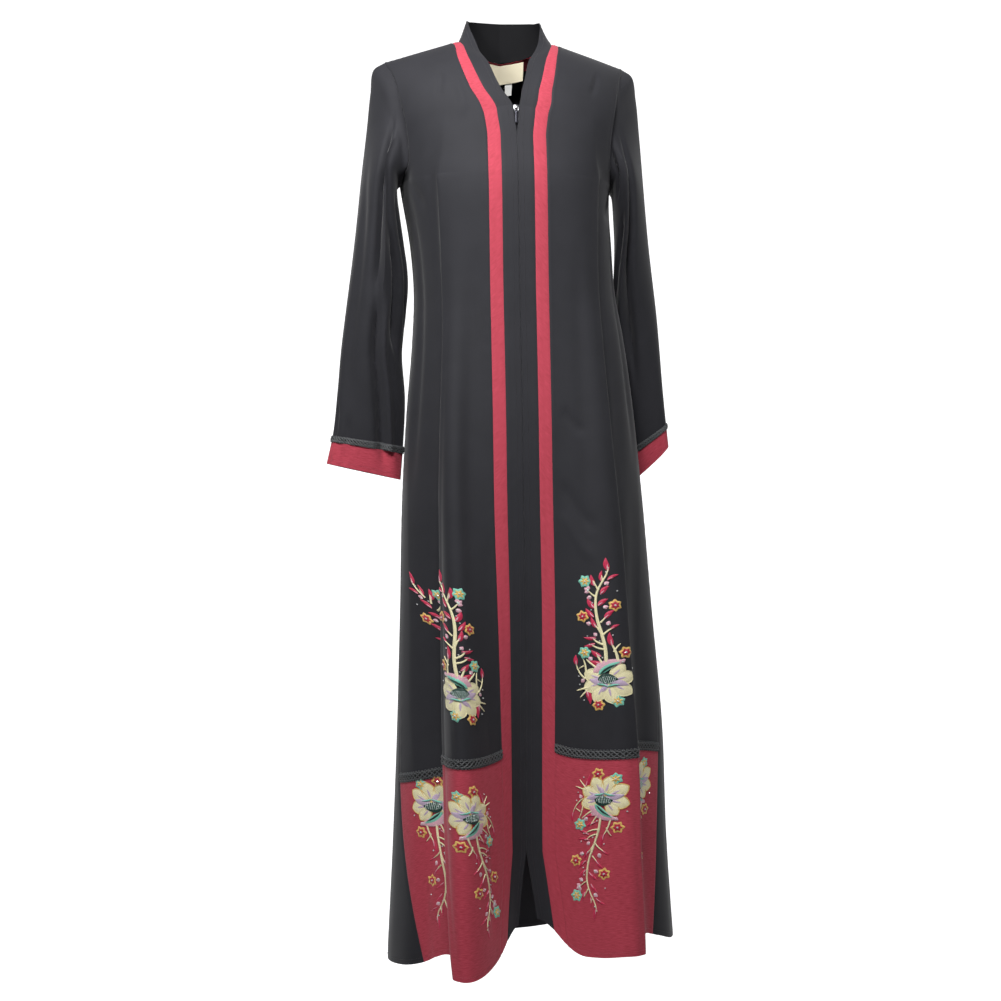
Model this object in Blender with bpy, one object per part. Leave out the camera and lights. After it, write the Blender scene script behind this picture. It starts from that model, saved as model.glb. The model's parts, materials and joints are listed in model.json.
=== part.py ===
"""Full-length abaya, filled out with no wearer: every cut piece as its own thin wall.

Metres, +Z up. The front faces -Y and the wearer's left is +X. The origin is between the two
shoulder points, at the height where the shoulder seams meet the neck.
Every surface is worked out from the short tables below: sections of the body, folds, the line
of the hem, the armholes, the neck and the sleeves.
"""

import math

import bmesh
import bpy
import numpy as np
from mathutils import Matrix, Vector

# Cloth
CLOTH = 0.0016
SEAM = 0.0004
LAID_ON = 0.0003
BRAID = 0.0014
LABEL = 0.0010

# Widths of the cut pieces
PLACKET = 0.0255
STRIP = 0.0205
HEM_BRAID = 0.016
CUFF = 0.039
CUFF_BRAID = 0.0115
ZIP_TAPE_HALF = 0.012
ZIP_TAPE = 0.0012
ZIP_TAPE_BEHIND = 0.0005
NECK_LABEL_WIDTH = 0.078
NECK_LABEL_DEPTH = 0.031
NECK_LABEL_BELOW_SEAM = 0.002
SIZE_TAB_WIDTH = 0.0118
SIZE_TAB_X = 0.016
SIZE_TAB_TUCKED = 0.006
SIZE_TAB_SHOWS = 0.020

# Heights
ARMPIT = -0.235
ZIP_TOP = -0.125
SLIT_TOP = -1.303
HEM_NOMINAL = -1.46
NECK_POINT = (0.086, -0.002)
SHOULDER_TIP = (0.197, -0.036)
SHOULDER_ROUNDING = 0.125

# How finely the walls are divided
FRONT_COLUMNS = 16
BACK_NECK_COLUMNS = 5
BACK_SHOULDER_COLUMNS = 9
SKIRT_ROWS = 18
HEM_ROWS = 7
CHEST_ROWS = 5
YOKE_ROWS = 7
SLEEVE_RINGS = 14
RING_STEPS = 360

# The body's round at each height: its middle, and its reach from there to each side
SECTION_NAMES = ("z", "middle", "to_right_arm", "to_left_arm", "forward", "backward")
SECTIONS = [
    (-1.480, 0.0260, 0.200, 0.241, 0.152, 0.164),
    (-1.300, 0.0226, 0.188, 0.232, 0.150, 0.161),
    (-1.120, 0.0210, 0.180, 0.227, 0.148, 0.158),
    (-0.943, 0.0190, 0.176, 0.216, 0.146, 0.154),
    (-0.730, 0.0135, 0.171, 0.208, 0.144, 0.148),
    (-0.600, 0.0112, 0.165, 0.199, 0.144, 0.140),
    (-0.484, 0.0088, 0.156, 0.186, 0.144, 0.132),
    (-0.410, 0.0070, 0.153, 0.175, 0.146, 0.130),
    (-0.336, 0.0055, 0.158, 0.171, 0.150, 0.136),
    (-0.235, 0.0040, 0.174, 0.170, 0.150, 0.142),
    (-0.185, 0.0035, 0.181, 0.181, 0.141, 0.137),
    (-0.125, 0.0030, 0.194, 0.194, 0.130, 0.130),
    (-0.060, 0.0000, 0.200, 0.200, 0.120, 0.118),
    (0.000, 0.0000, 0.200, 0.200, 0.112, 0.108),
]
SQUARENESS = 2.35

# Folds of the skirt. Angles are degrees round from the centre front, rise and lean are metres
FOLD_NAMES = ("fold", "angle_high", "angle_hem", "half_width", "rise", "lean", "begins", "whole")
FOLDS = [
    ("placket hollow", 1, 1, 13, -0.044, 0.000, -0.60, -1.35),
    ("left front", 34, 30, 12, 0.050, 0.002, -0.20, -1.30),
    ("left hollow", 66, 68, 14, -0.024, 0.000, -0.50, -1.30),
    ("right front", -40, -23, 10, 0.068, 0.010, -0.20, -1.40),
    ("right hollow", -64, -56, 12, -0.016, 0.000, -0.20, -1.35),
    ("left side", 100, 100, 14, 0.026, 0.000, -0.24, -1.20),
    ("right side", -96, -96, 14, 0.016, 0.000, -0.24, -1.20),
    ("left back", 132, 130, 11, 0.034, 0.000, -0.24, -1.30),
    ("right back", -132, -130, 11, 0.034, 0.000, -0.24, -1.30),
    ("left rear", 162, 160, 10, 0.030, 0.000, -0.24, -1.30),
    ("right rear", -162, -160, 10, 0.030, 0.000, -0.24, -1.30),
]

# The hem's height round the ring, and the depth of the maroon panels above it
HEM_LINE_NAMES = ("angle", "hem_z", "panel_depth")
HEM_LINE = [
    (-180, -1.488, 0.306),
    (-150, -1.491, 0.306),
    (-115, -1.497, 0.304),
    (-90, -1.495, 0.292),
    (-65, -1.483, 0.278),
    (-50, -1.468, 0.270),
    (-38, -1.458, 0.271),
    (-31, -1.461, 0.287),
    (-28, -1.469, 0.309),
    (-24, -1.479, 0.320),
    (-13, -1.462, 0.307),
    (-5, -1.420, 0.2912),
    (0, -1.412, 0.2862),
    (5, -1.412, 0.2862),
    (8, -1.424, 0.293),
    (11, -1.443, 0.301),
    (15, -1.459, 0.309),
    (20, -1.461, 0.309),
    (26, -1.457, 0.307),
    (33, -1.455, 0.307),
    (37, -1.450, 0.304),
    (50, -1.450, 0.299),
    (66, -1.449, 0.292),
    (80, -1.460, 0.296),
    (92, -1.472, 0.302),
    (110, -1.463, 0.306),
    (140, -1.478, 0.306),
    (180, -1.488, 0.306),
]

# Cloth from the centre front to each side seam
SIDE_SEAM_NAMES = ("z", "right_arm_side", "left_arm_side")
SIDE_SEAMS = [
    (-1.490, 0.293, 0.320),
    (-1.400, 0.318, 0.334),
    (-1.300, 0.343, 0.346),
    (-1.200, 0.352, 0.350),
    (-1.100, 0.342, 0.348),
    (-0.730, 0.293, 0.310),
    (-0.410, 0.250, 0.266),
]

# Half of the gap between the two plackets
PLACKET_GAP_NAMES = ("z", "half_gap")
PLACKET_GAPS = [
    (-1.440, 0.0190),
    (-1.390, 0.0125),
    (-1.345, 0.0065),
    (-1.303, 0.0003),
    (-0.172, 0.0003),
    (-0.158, 0.0020),
    (-0.140, 0.0046),
    (-0.125, 0.0055),
]

# The front and back armholes: distance from the middle, up the armhole from armpit to tip
ARMHOLE_NAMES = ("share", "front_x", "back_x")
ARMHOLE = [
    (0.00, 0.1720, 0.1720),
    (0.036, 0.1700, 0.1703),
    (0.11, 0.1643, 0.1680),
    (0.20, 0.1625, 0.1687),
    (0.35, 0.1645, 0.1715),
    (0.63, 0.1745, 0.1800),
    (0.88, 0.1865, 0.1890),
    (1.00, 0.1970, 0.1970),
]

# The neck, from the zip's top round to the centre back: the strip's outer edge, the seam
# between strip and placket, and the placket's free edge, which rises into the stand collar
NECK_NAMES = ("station", "outer_x", "outer_z", "seam_x", "seam_z", "edge_x", "edge_y", "edge_z")
NECK = [
    (0, 0.0515, -0.125, 0.0310, -0.125, 0.0055, -0.128, -0.125),
    (1, 0.0600, -0.085, 0.0405, -0.085, 0.0135, -0.115, -0.085),
    (2, 0.0720, -0.048, 0.0530, -0.048, 0.0250, -0.092, -0.050),
    (3, 0.0805, -0.018, 0.0665, -0.018, 0.0430, -0.056, -0.020),
    (4, 0.0860, -0.002, 0.0755, 0.000, 0.0605, -0.002, 0.034),
    (5, 0.0780, -0.010, 0.0640, -0.003, 0.0540, 0.032, 0.044),
    (6, 0.0500, -0.024, 0.0380, -0.012, 0.0320, 0.052, 0.048),
    (7, 0.0000, -0.032, 0.0000, -0.018, 0.0000, 0.060, 0.049),
]
SHOULDER_STATION = 4
CENTRE_BACK_STATION = 7

# The sleeves: the outer and inner ends of each round, and half its depth
SLEEVE_NAMES = ("outer_x", "outer_y", "outer_z", "inner_x", "inner_y", "inner_z", "front_drop",
                "half_depth")
SLEEVE_RIGHT = [
    (0.1970, 0.000, -0.036, 0.1720, 0.000, -0.2360, 0.000, 0.095),
    (0.2125, 0.000, -0.046, 0.1765, 0.002, -0.2420, 0.000, 0.090),
    (0.2185, 0.000, -0.085, 0.1775, 0.003, -0.2500, 0.000, 0.086),
    (0.2240, 0.002, -0.140, 0.1755, 0.004, -0.2640, 0.000, 0.081),
    (0.2320, 0.004, -0.210, 0.1710, 0.006, -0.2880, 0.000, 0.075),
    (0.2400, 0.006, -0.290, 0.1640, 0.008, -0.3300, 0.000, 0.068),
    (0.2480, 0.008, -0.360, 0.1565, 0.010, -0.3850, 0.000, 0.060),
    (0.2570, 0.010, -0.430, 0.1590, 0.012, -0.4450, 0.000, 0.051),
    (0.2655, 0.012, -0.500, 0.1660, 0.014, -0.5050, 0.000, 0.042),
    (0.2715, 0.014, -0.570, 0.1610, 0.016, -0.5800, 0.000, 0.033),
    (0.2790, 0.016, -0.640, 0.1640, 0.018, -0.6570, 0.000, 0.025),
    (0.2890, 0.018, -0.687, 0.1680, 0.020, -0.7130, 0.000, 0.020),
]
SLEEVE_LEFT = [
    (0.1970, 0.000, -0.036, 0.1720, 0.000, -0.2360, 0.000, 0.095),
    (0.2125, 0.000, -0.046, 0.1785, 0.005, -0.2440, 0.000, 0.090),
    (0.2200, 0.000, -0.085, 0.1810, 0.008, -0.2520, 0.000, 0.085),
    (0.2260, 0.003, -0.140, 0.1830, 0.012, -0.2650, 0.000, 0.080),
    (0.2330, 0.008, -0.210, 0.1855, 0.018, -0.2880, 0.000, 0.073),
    (0.2410, 0.015, -0.290, 0.1900, 0.030, -0.3280, 0.000, 0.064),
    (0.2480, 0.022, -0.370, 0.1960, 0.050, -0.3880, 0.000, 0.054),
    (0.2560, 0.030, -0.450, 0.2040, 0.076, -0.4600, 0.000, 0.043),
    (0.2650, 0.038, -0.530, 0.2110, 0.100, -0.5450, 0.006, 0.034),
    (0.2750, 0.045, -0.600, 0.2120, 0.120, -0.6400, 0.013, 0.028),
    (0.2840, 0.050, -0.660, 0.2110, 0.138, -0.7300, 0.020, 0.023),
]
BLEND_AT_SHOULDER = 0.16
BLEND_AT_ARMPIT = 0.022
LONGEST_MITRE = 1.6

# Zip slider and pull tab, in the slider's own frame: across, out of the cloth, up the cloth
SLIDER_SIZE = (0.0078, 0.0022, 0.0105)
LUG_WIDTH = 0.0018
LUG_FOOT = 0.0013
LUG_LENGTH = 0.0072
LUG_INSIDE = 0.0021
LUG_CROWN = 0.0010
TAB_SIZE = (0.0052, 0.0010, 0.0265)
TAB_WINDOW = (0.0026, 0.0056)
TAB_TOP_BAR = 0.0010
TAB_BEHIND = 0.0006

BLACK_CREPE = (0.035, 0.035, 0.040, 1.0)
MAROON_WEAVE = (0.330, 0.030, 0.055, 1.0)
BLACK_BRAID = (0.020, 0.020, 0.023, 1.0)
CREAM_SATIN = (0.760, 0.700, 0.520, 1.0)
WHITE_SATIN = (0.850, 0.850, 0.830, 1.0)
DARK_METAL = (0.110, 0.110, 0.120, 1.0)


def columns(names, rows):
    """A table's columns by name, as arrays."""
    return {name: np.array([row[i] for row in rows]) for i, name in enumerate(names)}


SECTION = columns(SECTION_NAMES, SECTIONS)
FOLDS_BY_NAME = [dict(zip(FOLD_NAMES, row)) for row in FOLDS]
HEM = columns(HEM_LINE_NAMES, HEM_LINE)
SIDE = columns(SIDE_SEAM_NAMES, sorted(SIDE_SEAMS))
GAP = columns(PLACKET_GAP_NAMES, PLACKET_GAPS)
ARM = columns(ARMHOLE_NAMES, ARMHOLE)
NECKLINE = columns(NECK_NAMES, NECK)


def smooth(known_x, known_y, x):
    """A smooth curve through a table's points, read at x."""
    known_x = np.asarray(known_x, float)
    known_y = np.asarray(known_y, float)
    slope = np.gradient(known_y, known_x)
    x = np.clip(x, known_x[0], known_x[-1])
    i = np.clip(np.searchsorted(known_x, x) - 1, 0, len(known_x) - 2)
    step = known_x[i + 1] - known_x[i]
    t = (x - known_x[i]) / step
    return (
        known_y[i] * (1 + 2 * t) * (1 - t) ** 2
        + slope[i] * step * t * (1 - t) ** 2
        + known_y[i + 1] * t * t * (3 - 2 * t)
        + slope[i + 1] * step * t * t * (t - 1)
    )


def ease(t):
    """0 below 0, 1 above 1, and smooth between."""
    t = np.clip(t, 0.0, 1.0)
    return t * t * (3 - 2 * t)


def section(name, z):
    """One column of the body's sections at height z."""
    return smooth(SECTION["z"], SECTION[name], z)


def ring(angle, z):
    """Plan of the body at height z: x and y at an angle round from the centre front."""
    s = np.sin(angle)
    c = np.cos(angle)
    sideways = np.where(s > 0, section("to_left_arm", z), section("to_right_arm", z))
    deep = np.where(c > 0, section("forward", z), section("backward", z))
    x = section("middle", z) + sideways * np.sign(s) * np.abs(s) ** (2 / SQUARENESS)
    y = -deep * np.sign(c) * np.abs(c) ** (2 / SQUARENESS)
    degrees = np.degrees(angle)
    for fold in FOLDS_BY_NAME:
        begins = fold["begins"]
        grown = ease((begins - z) / (begins - fold["whole"]))
        down = np.clip((begins - z) / (begins - SECTION["z"][0]), 0, 1)
        crest = fold["angle_high"] + (fold["angle_hem"] - fold["angle_high"]) * down
        off = (degrees - crest + 180) % 360 - 180
        bump = np.exp(-(off / fold["half_width"]) ** 2) * grown
        x = x + bump * (fold["rise"] * s + fold["lean"] * c)
        y = y + bump * (-fold["rise"] * c + fold["lean"] * s)
    return x, y


def walk_ring(z):
    """Rings at heights z: their angles, points, and the cloth walked round from the front."""
    angle = np.linspace(0, 2 * math.pi, RING_STEPS + 1)
    x, y = ring(angle[None, :], np.asarray(z, float)[:, None])
    steps = np.hypot(np.diff(x, axis=1), np.diff(y, axis=1))
    walked = np.concatenate([np.zeros((len(x), 1)), np.cumsum(steps, axis=1)], axis=1)
    return angle, x, y, walked


def on_skirt(cloth, z):
    """Points at a distance along the cloth from the centre front, left positive, at height z."""
    cloth, z = np.broadcast_arrays(np.asarray(cloth, float), np.asarray(z, float))
    _, x, y, walked = walk_ring(z.ravel())
    points = []
    for i, distance in enumerate(cloth.ravel()):
        distance = distance % walked[i, -1]
        points.append((
            np.interp(distance, walked[i], x[i]),
            np.interp(distance, walked[i], y[i]),
            z.ravel()[i],
        ))
    return np.array(points).reshape(cloth.shape + (3,))


def round_at(z):
    """The whole round of the cloth at height z."""
    return walk_ring([z])[3][0, -1]


def angle_at_hem(cloth):
    """Degrees round from the centre front of a place along the cloth, near the hem."""
    angle, _, _, walked = walk_ring([HEM_NOMINAL])
    degrees = np.degrees(np.interp(np.asarray(cloth) % walked[0, -1], walked[0], angle))
    return (degrees + 180) % 360 - 180


def half_gap(z):
    """Half of the gap between the plackets at height z."""
    return np.interp(z, GAP["z"], GAP["half_gap"])


def shoulder_height(x):
    """Height of the shoulder seam, or of the neck's rim, over a place x."""
    known_x = (0.0, NECKLINE["seam_x"][SHOULDER_STATION], NECK_POINT[0], SHOULDER_TIP[0], 0.24)
    known_z = (0.0, 0.0, NECK_POINT[1], SHOULDER_TIP[1], SHOULDER_TIP[1] - 0.015)
    return np.interp(np.abs(x), known_x, known_z)


def on_chest(x, z, side):
    """Points of the front (side -1) or the back (side 1) above the armpits, at x and height z."""
    x, z = np.broadcast_arrays(np.asarray(x, float), np.asarray(z, float))
    off = x - section("middle", z)
    reach = np.where(off > 0, section("to_left_arm", z), section("to_right_arm", z))
    deep = section("forward" if side < 0 else "backward", z)
    inside = 1 - np.clip(np.abs(off) / reach, 0, 1) ** SQUARENESS
    below = np.clip((shoulder_height(x) - z) / SHOULDER_ROUNDING, 0, 1)
    dome = np.sqrt(np.clip(1 - (1 - below) ** 2, 0, 1))
    y = side * deep * inside ** (1 / SQUARENESS) * dome
    return np.stack([x, y, z], axis=-1)


def unit(vectors):
    """Vectors at length 1."""
    return vectors / np.maximum(np.linalg.norm(vectors, axis=-1, keepdims=True), 1e-12)


def facing_out(normals, points):
    """Normals turned as a whole to face away from the part's upright axis."""
    away = points * np.array([1.0, 1.0, 0.0])
    return normals if np.sum(normals * away) > 0 else -normals


def grid_normals(grid):
    """Normals of a grid of points, from its own neighbours."""
    normals = np.cross(np.gradient(grid, axis=1), np.gradient(grid, axis=0))
    return facing_out(unit(normals), grid)


def skirt_normals(cloth, z):
    """Normals of the skirt, the same for two pieces that meet there."""
    step = 0.003
    across = on_skirt(cloth + step, z) - on_skirt(cloth - step, z)
    down = on_skirt(cloth, z - step) - on_skirt(cloth, z + step)
    return facing_out(unit(np.cross(across, down)), on_skirt(cloth, z))


# Rows and columns that neighbouring pieces share

CHEST_SHARE = (ZIP_TOP - ARMPIT) / (NECK_POINT[1] - ARMPIT)
SHARES = np.concatenate([
    CHEST_SHARE * np.linspace(0, 1, CHEST_ROWS + 1)[:-1] ** 1.6,
    1 - (1 - CHEST_SHARE) * (1 - np.linspace(0, 1, YOKE_ROWS + 1)) ** 1.7,
])


def skirt_heights(cloth):
    """Heights of the skirt's rows over places along the cloth, armpit first and hem last."""
    angle = angle_at_hem(cloth)
    hem = smooth(HEM["angle"], HEM["hem_z"], angle)
    braid_foot = hem + smooth(HEM["angle"], HEM["panel_depth"], angle)
    braid_top = braid_foot + HEM_BRAID
    upper = ARMPIT + (braid_top - ARMPIT) * np.linspace(0, 1, SKIRT_ROWS + 1)[:, None]
    lower = braid_foot + (hem - braid_foot) * np.linspace(0, 1, HEM_ROWS + 1)[:, None]
    return np.concatenate([upper, lower])


ROW_BRAID_FOOT = SKIRT_ROWS + 1


def side_seam(z, side):
    """Cloth from the centre front to the side seam; side is 1 for the wearer's left."""
    name = "left_arm_side" if side > 0 else "right_arm_side"
    at_armpit = quarter_round(side)
    known_z = np.append(SIDE["z"], ARMPIT)
    known = np.append(SIDE[name], at_armpit)
    return smooth(known_z, known, z)


def quarter_round(side):
    """Cloth from the centre front to the armpit."""
    angle, _, _, walked = walk_ring([ARMPIT])
    quarter = np.interp(math.pi / 2, angle, walked[0])
    three_quarters = np.interp(3 * math.pi / 2, angle, walked[0])
    return quarter if side > 0 else walked[0, -1] - three_quarters


def skirt_grid(first, last, count, side):
    """Cloth distances and heights of a panel between two edges.

    first and last give each edge's cloth distance at a height.
    """
    hem_places = side * np.linspace(first(HEM_NOMINAL), last(HEM_NOMINAL), count + 1)
    z = skirt_heights(hem_places)
    share = np.linspace(0, 1, count + 1)
    cloth = side * (first(z) * (1 - share) + last(z) * share)
    return cloth, z


def neck_at(prefix, station):
    """x and z of one of the neck's lines at a station."""
    x = smooth(NECKLINE["station"], NECKLINE[prefix + "_x"], station)
    z = smooth(NECKLINE["station"], NECKLINE[prefix + "_z"], station)
    return x, z


def station_of_row(z):
    """The neck station whose strip has its outer edge at height z, before the shoulder."""
    stations = np.linspace(0, SHOULDER_STATION, 400)
    return np.interp(z, neck_at("outer", stations)[1], stations)


def row_heights_at_neck():
    """Heights of the rows above the armpits along the strip's outer edge."""
    return ARMPIT + SHARES * (NECK_POINT[1] - ARMPIT)


# Making walls


def material(name, colour, roughness, metallic=0.0):
    """A plain Principled material."""
    made = bpy.data.materials.new(name)
    made.use_nodes = True
    shader = made.node_tree.nodes["Principled BSDF"]
    shader.inputs["Base Color"].default_value = colour
    shader.inputs["Roughness"].default_value = roughness
    shader.inputs["Metallic"].default_value = metallic
    made.diffuse_color = colour
    return made


def add_object(name, mesh, finish):
    """Put a mesh in the scene as a named object of one material."""
    mesh.materials.append(finish)
    mesh.shade_smooth()
    mesh.set_sharp_from_angle(angle=math.radians(50))
    made = bpy.data.objects.new(name, mesh)
    bpy.context.collection.objects.link(made)
    return made


def wall(name, outer, inner, finish, closed=False):
    """A closed wall between two grids of points, open or closed along its rows."""
    rows, across = outer.shape[:2]
    points = np.concatenate([outer.reshape(-1, 3), inner.reshape(-1, 3)])
    behind = rows * across
    spans = across if closed else across - 1
    faces = []
    for r in range(rows - 1):
        for c in range(spans):
            a = r * across + c
            b = r * across + (c + 1) % across
            faces.append((a, b, b + across, a + across))
            faces.append((behind + a, behind + a + across, behind + b + across, behind + b))
    for r in (0, rows - 1):
        for c in range(spans):
            a = r * across + c
            b = r * across + (c + 1) % across
            faces.append((a, behind + a, behind + b, b))
    if not closed:
        for c in (0, across - 1):
            for r in range(rows - 1):
                a = r * across + c
                faces.append((a, a + across, behind + a + across, behind + a))
    mesh = bpy.data.meshes.new(name)
    mesh.from_pydata([tuple(p) for p in points], [], faces)
    shape = bmesh.new()
    shape.from_mesh(mesh)
    bmesh.ops.recalc_face_normals(shape, faces=shape.faces)
    shape.to_mesh(mesh)
    shape.free()
    return add_object(name, mesh, finish)


# The pieces' outer surfaces: each returns its points and its normals


def front_grid(side):
    """A front from its strip seam to the side seam and armhole, shoulder first, hem last."""
    def strip_edge(z):
        return half_gap(z) + PLACKET + STRIP

    cloth, z = skirt_grid(strip_edge, lambda z: side_seam(z, side), FRONT_COLUMNS, side)
    skirt = on_skirt(cloth, z)
    skirt_out = skirt_normals(cloth, z)

    share = np.linspace(0, 1, FRONT_COLUMNS + 1)
    armpit_x = skirt[0, :, 0]
    armpit_share = (armpit_x - armpit_x[0]) / (armpit_x[-1] - armpit_x[0])
    top_x = NECK_POINT[0] + (SHOULDER_TIP[0] - NECK_POINT[0]) * share
    top_z = shoulder_height(top_x)
    neck_z = row_heights_at_neck()
    rows = []
    for row_share, row_z in zip(SHARES, neck_z):
        inner = section("middle", row_z) * side
        if row_z < ZIP_TOP:
            inner += strip_edge(row_z)
        else:
            inner += neck_at("outer", station_of_row(row_z))[0]
        outer = smooth(ARM["share"], ARM["front_x"], row_share)
        outer += (side * armpit_x[-1] - ARM["front_x"][0]) * (1 - row_share) ** 4
        blend = armpit_share + (share - armpit_share) * ease(row_share)
        x = side * (inner + (outer - inner) * blend)
        rows.append(on_chest(x, ARMPIT + row_share * (top_z - ARMPIT), -1))
    chest = np.array(rows)
    chest[0] = skirt[0]
    chest[-1, :, 1] = 0.0
    chest_out = grid_normals(chest)
    chest_out[0] = skirt_out[0]
    chest_out[-1] = shoulder_normal(side)
    grid = np.concatenate([chest[::-1], skirt[1:]])
    normals = np.concatenate([chest_out[::-1], skirt_out[1:]])
    return grid, normals


def shoulder_normal(side):
    """The cloth's normal along the shoulder seam."""
    run = SHOULDER_TIP[0] - NECK_POINT[0]
    drop = NECK_POINT[1] - SHOULDER_TIP[1]
    return np.array([side * drop, 0.0, run]) / math.hypot(drop, run)


def back_grid():
    """The back from side seam to side seam, neck and shoulders first, hem last."""
    half_columns = BACK_NECK_COLUMNS + BACK_SHOULDER_COLUMNS
    share = np.linspace(0, 1, 2 * half_columns + 1)

    def edges(z):
        return side_seam(z, 1), np.vectorize(round_at)(z) - side_seam(z, -1)

    low, high = edges(np.array([HEM_NOMINAL]))
    z = skirt_heights(low[0] + (high[0] - low[0]) * share)
    first, last = edges(z)
    cloth = first * (1 - share) + last * share
    skirt = on_skirt(cloth, z)
    skirt_out = skirt_normals(cloth, z)

    stations = np.linspace(CENTRE_BACK_STATION, SHOULDER_STATION, BACK_NECK_COLUMNS + 1)
    rim_x, rim_z = neck_at("outer", stations)
    shoulder = np.linspace(NECK_POINT[0], SHOULDER_TIP[0], BACK_SHOULDER_COLUMNS + 1)[1:]
    half_x = np.concatenate([rim_x, shoulder])
    half_z = np.concatenate([rim_z, shoulder_height(shoulder)])
    top_x = np.concatenate([half_x[::-1], -half_x[1:]])
    top_z = np.concatenate([half_z[::-1], half_z[1:]])
    armpit_x = skirt[0, :, 0]
    from_middle = np.linspace(1, -1, 2 * half_columns + 1)
    rows = []
    for row_share in SHARES:
        reach = smooth(ARM["share"], ARM["back_x"], row_share)
        x = armpit_x + (top_x - armpit_x) * ease(row_share)
        left_off = reach + (armpit_x[0] - ARM["back_x"][0]) * (1 - row_share) ** 4 - x[0]
        right_off = -reach + (armpit_x[-1] + ARM["back_x"][0]) * (1 - row_share) ** 4 - x[-1]
        x = x + np.where(from_middle > 0, left_off, right_off) * from_middle ** 2
        rows.append(on_chest(x, ARMPIT + row_share * (top_z - ARMPIT), 1))
    chest = np.array(rows)
    chest[0] = skirt[0]
    on_shoulder = np.abs(top_x) >= NECK_POINT[0] - 1e-6
    chest[-1, on_shoulder, 1] = 0.0
    chest_out = grid_normals(chest)
    chest_out[0] = skirt_out[0]
    for column in np.flatnonzero(on_shoulder):
        chest_out[-1, column] = shoulder_normal(np.sign(top_x[column]))
    grid = np.concatenate([chest[::-1], skirt[1:]])
    normals = np.concatenate([chest_out[::-1], skirt_out[1:]])
    return grid, normals


def route_stations():
    """Neck stations of the strip's and placket's rows, from the zip's top to the centre back."""
    heights = row_heights_at_neck()
    front = station_of_row(heights[heights > ZIP_TOP - 1e-6])
    back = np.linspace(SHOULDER_STATION, CENTRE_BACK_STATION, BACK_NECK_COLUMNS + 1)[1:]
    return np.concatenate([front, back])


def neck_surface(prefix, station, side):
    """A point of the neck's outer or seam line, lying on the chest or the back."""
    x, z = neck_at(prefix, station)
    if abs(station - SHOULDER_STATION) < 1e-6:
        return np.array([side * x, 0.0, z])
    if station > SHOULDER_STATION:
        return on_chest(side * x, z, 1)
    return on_chest(section("middle", z) + side * x, z, -1)


def neck_edge(station, side):
    """A point of the placket's free edge, on the chest at first and then up the stand collar."""
    x, z = neck_at("edge", station)
    x = side * x
    if station < SHOULDER_STATION:
        x += section("middle", z)
    flat = on_chest(x, z, -1)[1]
    risen = smooth(NECKLINE["station"], NECKLINE["edge_y"], station)
    y = flat + (risen - flat) * ease(station / 1.5)
    return np.array([x, y, z])


def long_strip(first_cloth, last_cloth, first_neck, last_neck, count, side):
    """A piece that runs from the centre back of the neck, down the front, to the hem.

    It lies between two distances from the centre front, and between two lines of the neck.
    """
    cloth, z = skirt_grid(first_cloth, last_cloth, count, side)
    skirt = on_skirt(cloth, z)
    share = np.linspace(0, 1, count + 1)
    rows = []
    for row_z in row_heights_at_neck()[1:CHEST_ROWS]:
        x = section("middle", row_z)
        x = x + side * (first_cloth(row_z) * (1 - share) + last_cloth(row_z) * share)
        rows.append(on_chest(x, np.full(count + 1, row_z), -1))
    for station in route_stations():
        first = first_neck(station)
        last = last_neck(station)
        rows.append(first * (1 - share[:, None]) + last * share[:, None])
    upper = np.array(rows)
    whole = np.concatenate([upper[::-1], skirt])
    normals = grid_normals(whole)
    normals[len(upper):] = skirt_normals(cloth, z)
    normals[0, :, 0] = 0.0
    return whole, unit(normals)


def strip_grid(side):
    """The maroon strip, between the placket and the front."""
    return long_strip(
        lambda z: half_gap(z) + PLACKET,
        lambda z: half_gap(z) + PLACKET + STRIP,
        lambda station: neck_surface("seam", station, side),
        lambda station: neck_surface("outer", station, side),
        2,
        side,
    )


def placket_grid(side):
    """The black placket, which rises into half of the stand collar."""
    return long_strip(
        half_gap,
        lambda z: half_gap(z) + PLACKET,
        lambda station: neck_edge(station, side),
        lambda station: neck_surface("seam", station, side),
        2,
        side,
    )


def body_line(values_front, values_back, side):
    """Values along the strip's outer edge, from the front's and the back's own edges."""
    top_rows = len(SHARES)
    neck = values_back[0, BACK_SHOULDER_COLUMNS:-BACK_SHOULDER_COLUMNS]
    half = neck[BACK_NECK_COLUMNS::-1] if side > 0 else neck[BACK_NECK_COLUMNS:]
    return np.concatenate([half[:-1], values_front[:top_rows - 1, 0]])


def mitred(one, other):
    """Normals for the seam of two pieces, longer where the pieces meet at a sharp angle."""
    both = one + other
    length = np.linalg.norm(both, axis=-1, keepdims=True)
    return unit(both) * np.minimum(2 / np.maximum(length, 1e-6), LONGEST_MITRE)


def into_piece(edge, next_line, closed=False):
    """Half a seam's step from an edge into its piece, square to the edge."""
    if closed:
        along = unit(np.roll(edge, -1, axis=0) - np.roll(edge, 1, axis=0))
    else:
        along = unit(np.gradient(edge, axis=0))
    inward = next_line - edge
    inward = inward - along * np.sum(inward * along, axis=1, keepdims=True)
    return unit(inward) * SEAM / 2


def draw_back(layer, edges, closed=False):
    """A copy of a grid whose named edges are drawn back half a seam."""
    drawn = layer.copy()
    if "first row" in edges:
        drawn[0] += into_piece(layer[0], layer[1], closed)
    if "last row" in edges:
        drawn[-1] += into_piece(layer[-1], layer[-2], closed)
    if "first column" in edges:
        drawn[:, 0] += into_piece(layer[:, 0], layer[:, 1])
    if "last column" in edges:
        drawn[:, -1] += into_piece(layer[:, -1], layer[:, -2])
    return drawn


def sewn_wall(name, outer, inner, edges, finish):
    """A wall whose named edges meet other pieces at seams."""
    return wall(name, draw_back(outer, edges), draw_back(inner, edges), finish)


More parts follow.
